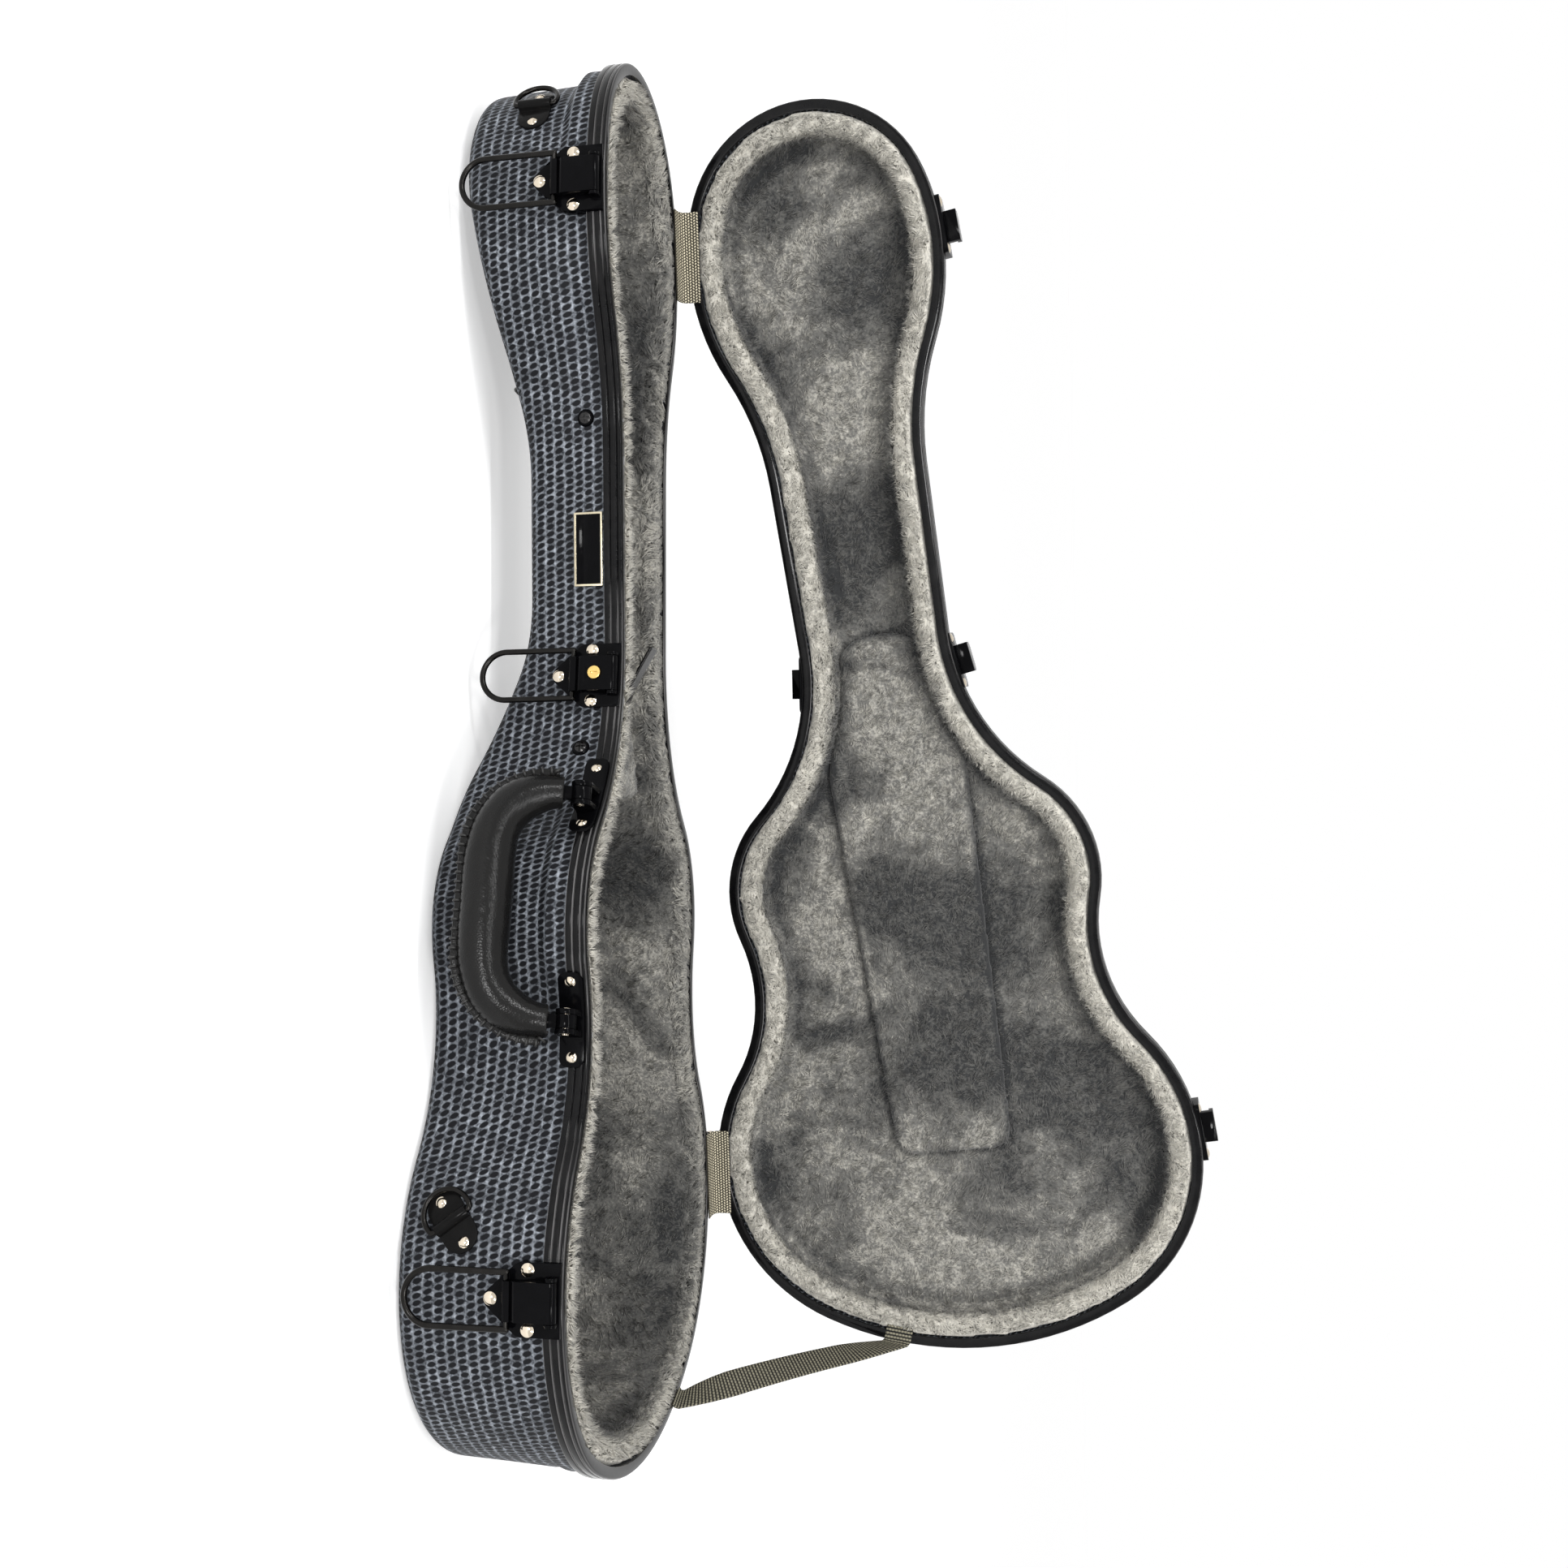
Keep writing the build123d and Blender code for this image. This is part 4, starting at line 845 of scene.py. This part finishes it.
# The hinges under the tape. Leaves of pressed steel are riveted to the mouldings and turn on
# a plated steel pin, and all but the pin is painted black.
def enamel(name, colour, rough):
    """Black enamel on pressed steel, with faint orange peel and smudges."""
    material, tree, shader = finish_named(name, {"Specular IOR Level": 0.045})
    place = object_place(tree)
    smudge = noise(tree, place, 160.0, detail=4.0)["Fac"]
    tone = mixed(tree, smudge, colour, tuple(2.2 * c for c in colour[:3]) + (1,))
    rough = ranged(tree, smudge, (0.35, 0.7), rough)
    peel = bump(tree, noise(tree, place, 900.0)["Fac"], 0.06, 0.0002)
    feed(tree, shader, {"Base Color": tone, "Roughness": rough, "Normal": peel})
    return material


def bright_metal(name, colour, rough):
    """Bare or plated metal with fine wear in its polish."""
    material, tree, shader = finish_named(name, {"Metallic": 1.0})
    wear = noise(tree, object_place(tree), 240.0, detail=3.0)["Fac"]
    tone = mixed(tree, wear, tuple(0.6 * c for c in colour[:3]) + (1,), colour)
    feed(tree, shader, {"Base Color": tone, "Roughness": ranged(tree, wear, (0.3, 0.7), rough)})
    return material


black_enamel = enamel("black_enamel", (0.0012, 0.0012, 0.0015, 1), rough=(0.05, 0.19))
soft_enamel = enamel("satin_enamel", (0.004, 0.0039, 0.0039, 1), rough=(0.12, 0.26))
black_nickel = bright_metal("black_nickel", (0.022, 0.021, 0.020, 1), rough=(0.16, 0.3))
warm_nickel = bright_metal("warm_nickel", (0.76, 0.67, 0.54, 1), rough=(0.07, 0.16))
yellow_brass = bright_metal("yellow_brass", (0.83, 0.58, 0.20, 1), rough=(0.16, 0.3))
for node in ("base_hinge_leaves", "lid_hinge_leaves"):
    rounded(node, "pressed_" + node, soft_enamel, width=0.0002)
rounded("hinge_pins", "steel_hinge_pins", warm_nickel)

# The four latches. Each has a shield plate riveted to the wall, a pressed lever on a pin, and
# a bent wire bail that drops over the catch on the lid. The neck latch's lever has the lock.
for end in ("head", "neck", "tail", "rear"):
    rounded("latch_plate_" + end, "pressed_plate_" + end, black_enamel, width=0.00035)
    rounded("lever_" + end, "pressed_lever_" + end, black_enamel, width=0.00045)
    rounded("bail_" + end, "wire_bail_" + end, black_nickel)
rounded("latch_pins", "lever_pins", black_nickel)
rounded("latch_rivets", "plate_rivets", warm_nickel)
rounded("lock_barrel", "brass_lock", yellow_brass, width=0.00015)
rounded("catches", "hooked_catches", black_enamel, width=0.0005)
rounded("catch_rivets", "hook_rivets", warm_nickel)

# The handle. Leather is wrapped round a padded core and sewn along the outside of the bow, and
# steel eyes at its ends turn on pins in two plates on the moulding.
def leather_finish():
    """Fine grained black leather, rubbed paler and smoother in patches."""
    material, tree, shader = finish_named("black_leather", {"Specular IOR Level": 0.19})
    place = object_place(tree)
    grain = add(tree, "ShaderNodeTexVoronoi", {"Vector": place, "Scale": 1100.0}).outputs["Distance"]
    rub = noise(tree, place, 45.0, detail=5.0, roughness=0.65)["Fac"]
    tone = mixed(tree, rub, (0.002, 0.002, 0.0021, 1), (0.009, 0.0086, 0.0082, 1))
    rough = ranged(tree, rub, (0.3, 0.7), (0.30, 0.20))
    feed(tree, shader, {"Base Color": tone, "Roughness": rough, "Normal": bump(tree, grain, 0.22, 0.0003)})
    return material


leather = leather_finish()
grip = merged_copy("handle_grip", "leather_grip")
apply(grip, "REMESH", mode="VOXEL", voxel_size=0.0007, use_smooth_shade=True)
apply(grip, "SMOOTH", factor=0.5, iterations=2)
creases = clouds("leather_creases", 0.012)
apply(grip, "DISPLACE", texture=creases, strength=0.0006, mid_level=0.5, texture_coords="LOCAL")
grip.data.materials.append(leather)


def seam_stitches(count, end_gap=0.004, inset=0.0014):
    """Rings of thread round the seam's outer edge, evenly spaced along the bow."""
    half_slice, look_ahead = 0.0012, 0.001
    places = points_of(frame["nodes"]["handle_grip"].data)
    middle = places.mean(0)
    _, _, turns = np.linalg.svd(places - middle, full_matrices=False)
    long_way, out_way, through = turns
    flat = (places - middle) @ np.stack([long_way, out_way], axis=1)
    thin = abs((places - middle) @ through) < half_slice
    flat = flat[thin]
    hull = flat[convex_hull_2d([Vector(spot) for spot in flat])]
    edges = np.linalg.norm(np.roll(hull, -1, axis=0) - hull, axis=1)
    hull = np.roll(hull, -(edges.argmax() + 1), axis=0)
    run = run_along(hull)
    for at in np.linspace(end_gap, run[-1] - end_gap, count):
        spot = np.array([np.interp(at, run, hull[:, i]) for i in (0, 1)])
        ahead = np.array([np.interp(at + look_ahead, run, hull[:, i]) for i in (0, 1)]) - spot
        ahead /= np.linalg.norm(ahead)
        inward = np.array([-ahead[1], ahead[0]])
        inward *= np.sign(-(inward @ spot)) or 1.0
        spot = middle + (spot + inset * inward) @ np.stack([long_way, out_way])
        axis = Vector(ahead @ np.stack([long_way, out_way]))
        bpy.ops.mesh.primitive_torus_add(
            location=spot,
            rotation=axis.to_track_quat("Z", "Y").to_euler(),
            major_radius=0.0018,
            minor_radius=0.00062,
            major_segments=14,
            minor_segments=6,
        )
        yield bpy.context.object


stitches = list(seam_stitches(46))
select(*stitches)
bpy.ops.object.join()
thread = bpy.context.object
thread.name = "seam_thread"
bpy.ops.object.transform_apply(location=True, rotation=True, scale=True)
bpy.ops.object.shade_smooth()
waxed, _, _ = finish_named("waxed_thread", {"Base Color": (0.010, 0.0095, 0.009, 1.0), "Roughness": 0.5})
thread.data.materials.append(waxed)
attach(thread, "handle")
rounded("handle_end_loops", "steel_eyes", black_enamel, width=0.0003)
rounded("handle_mounts", "lugged_mounts", black_enamel, width=0.0004)
rounded("handle_pins", "handle_pivots", warm_nickel)
rounded("handle_rivets", "mount_rivets", warm_nickel)

# The leather tab that lifts the pocket's lid. A cut strip is sewn to the lid at one end and
# curls up towards the head at the other.
low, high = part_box("pull_tab")
tab_curl = ((0.001, 0.001), (0.013, 0.0013), (0.026, 0.0062), (0.039, 0.0132))
tab_route = [(high.x - back, 0, low.z + up) for back, up in tab_curl]
tab_route.append((low.x + 0.001, 0, high.z - 0.0012))
across = [(0, 1, 0)] * len(tab_route)
tab = band("leather_tab", tab_route, across, width=0.0118, thickness=0.0016, steps=24, ribs=8)
tab.data.materials.append(leather)
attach(tab, "compartment_lid")
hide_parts("pull_tab")

# The strap rings. A bent wire ring turns in the raised loop of a riveted plate, two on the
# handle side and one on the back under the neck.
for end in ("head", "side", "back"):
    rounded("ring_plate_" + end, "ring_mount_" + end, soft_enamel, width=0.00025)
    rounded("ring_" + end, "wire_ring_" + end, black_nickel)
rounded("ring_rivets", "ring_mount_rivets", warm_nickel)

# The screws that hold the neck block, each in a cup washer, and the name plate, which is a
# black field in a pale raised border.
worn_steel = bright_metal("worn_steel", (0.045, 0.044, 0.044, 1), rough=(0.2, 0.36))
rounded("cup_washers", "pressed_cup_washers", black_enamel, width=0.00015)
rounded("neck_screws", "cross_screws", worn_steel)
plate = rounded("name_plate", "bare_name_plate", black_enamel, width=0.00015)
plate.data.materials.append(bright_metal("plate_border", (0.62, 0.55, 0.40, 1), rough=(0.2, 0.34)))
low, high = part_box("name_plate")
border_width = 0.00105
for face in plate.data.polygons:
    x, _, z = face.center
    if min(x - low.x, high.x - x, z - low.z, high.z - z) < border_width:
        face.material_index = 1
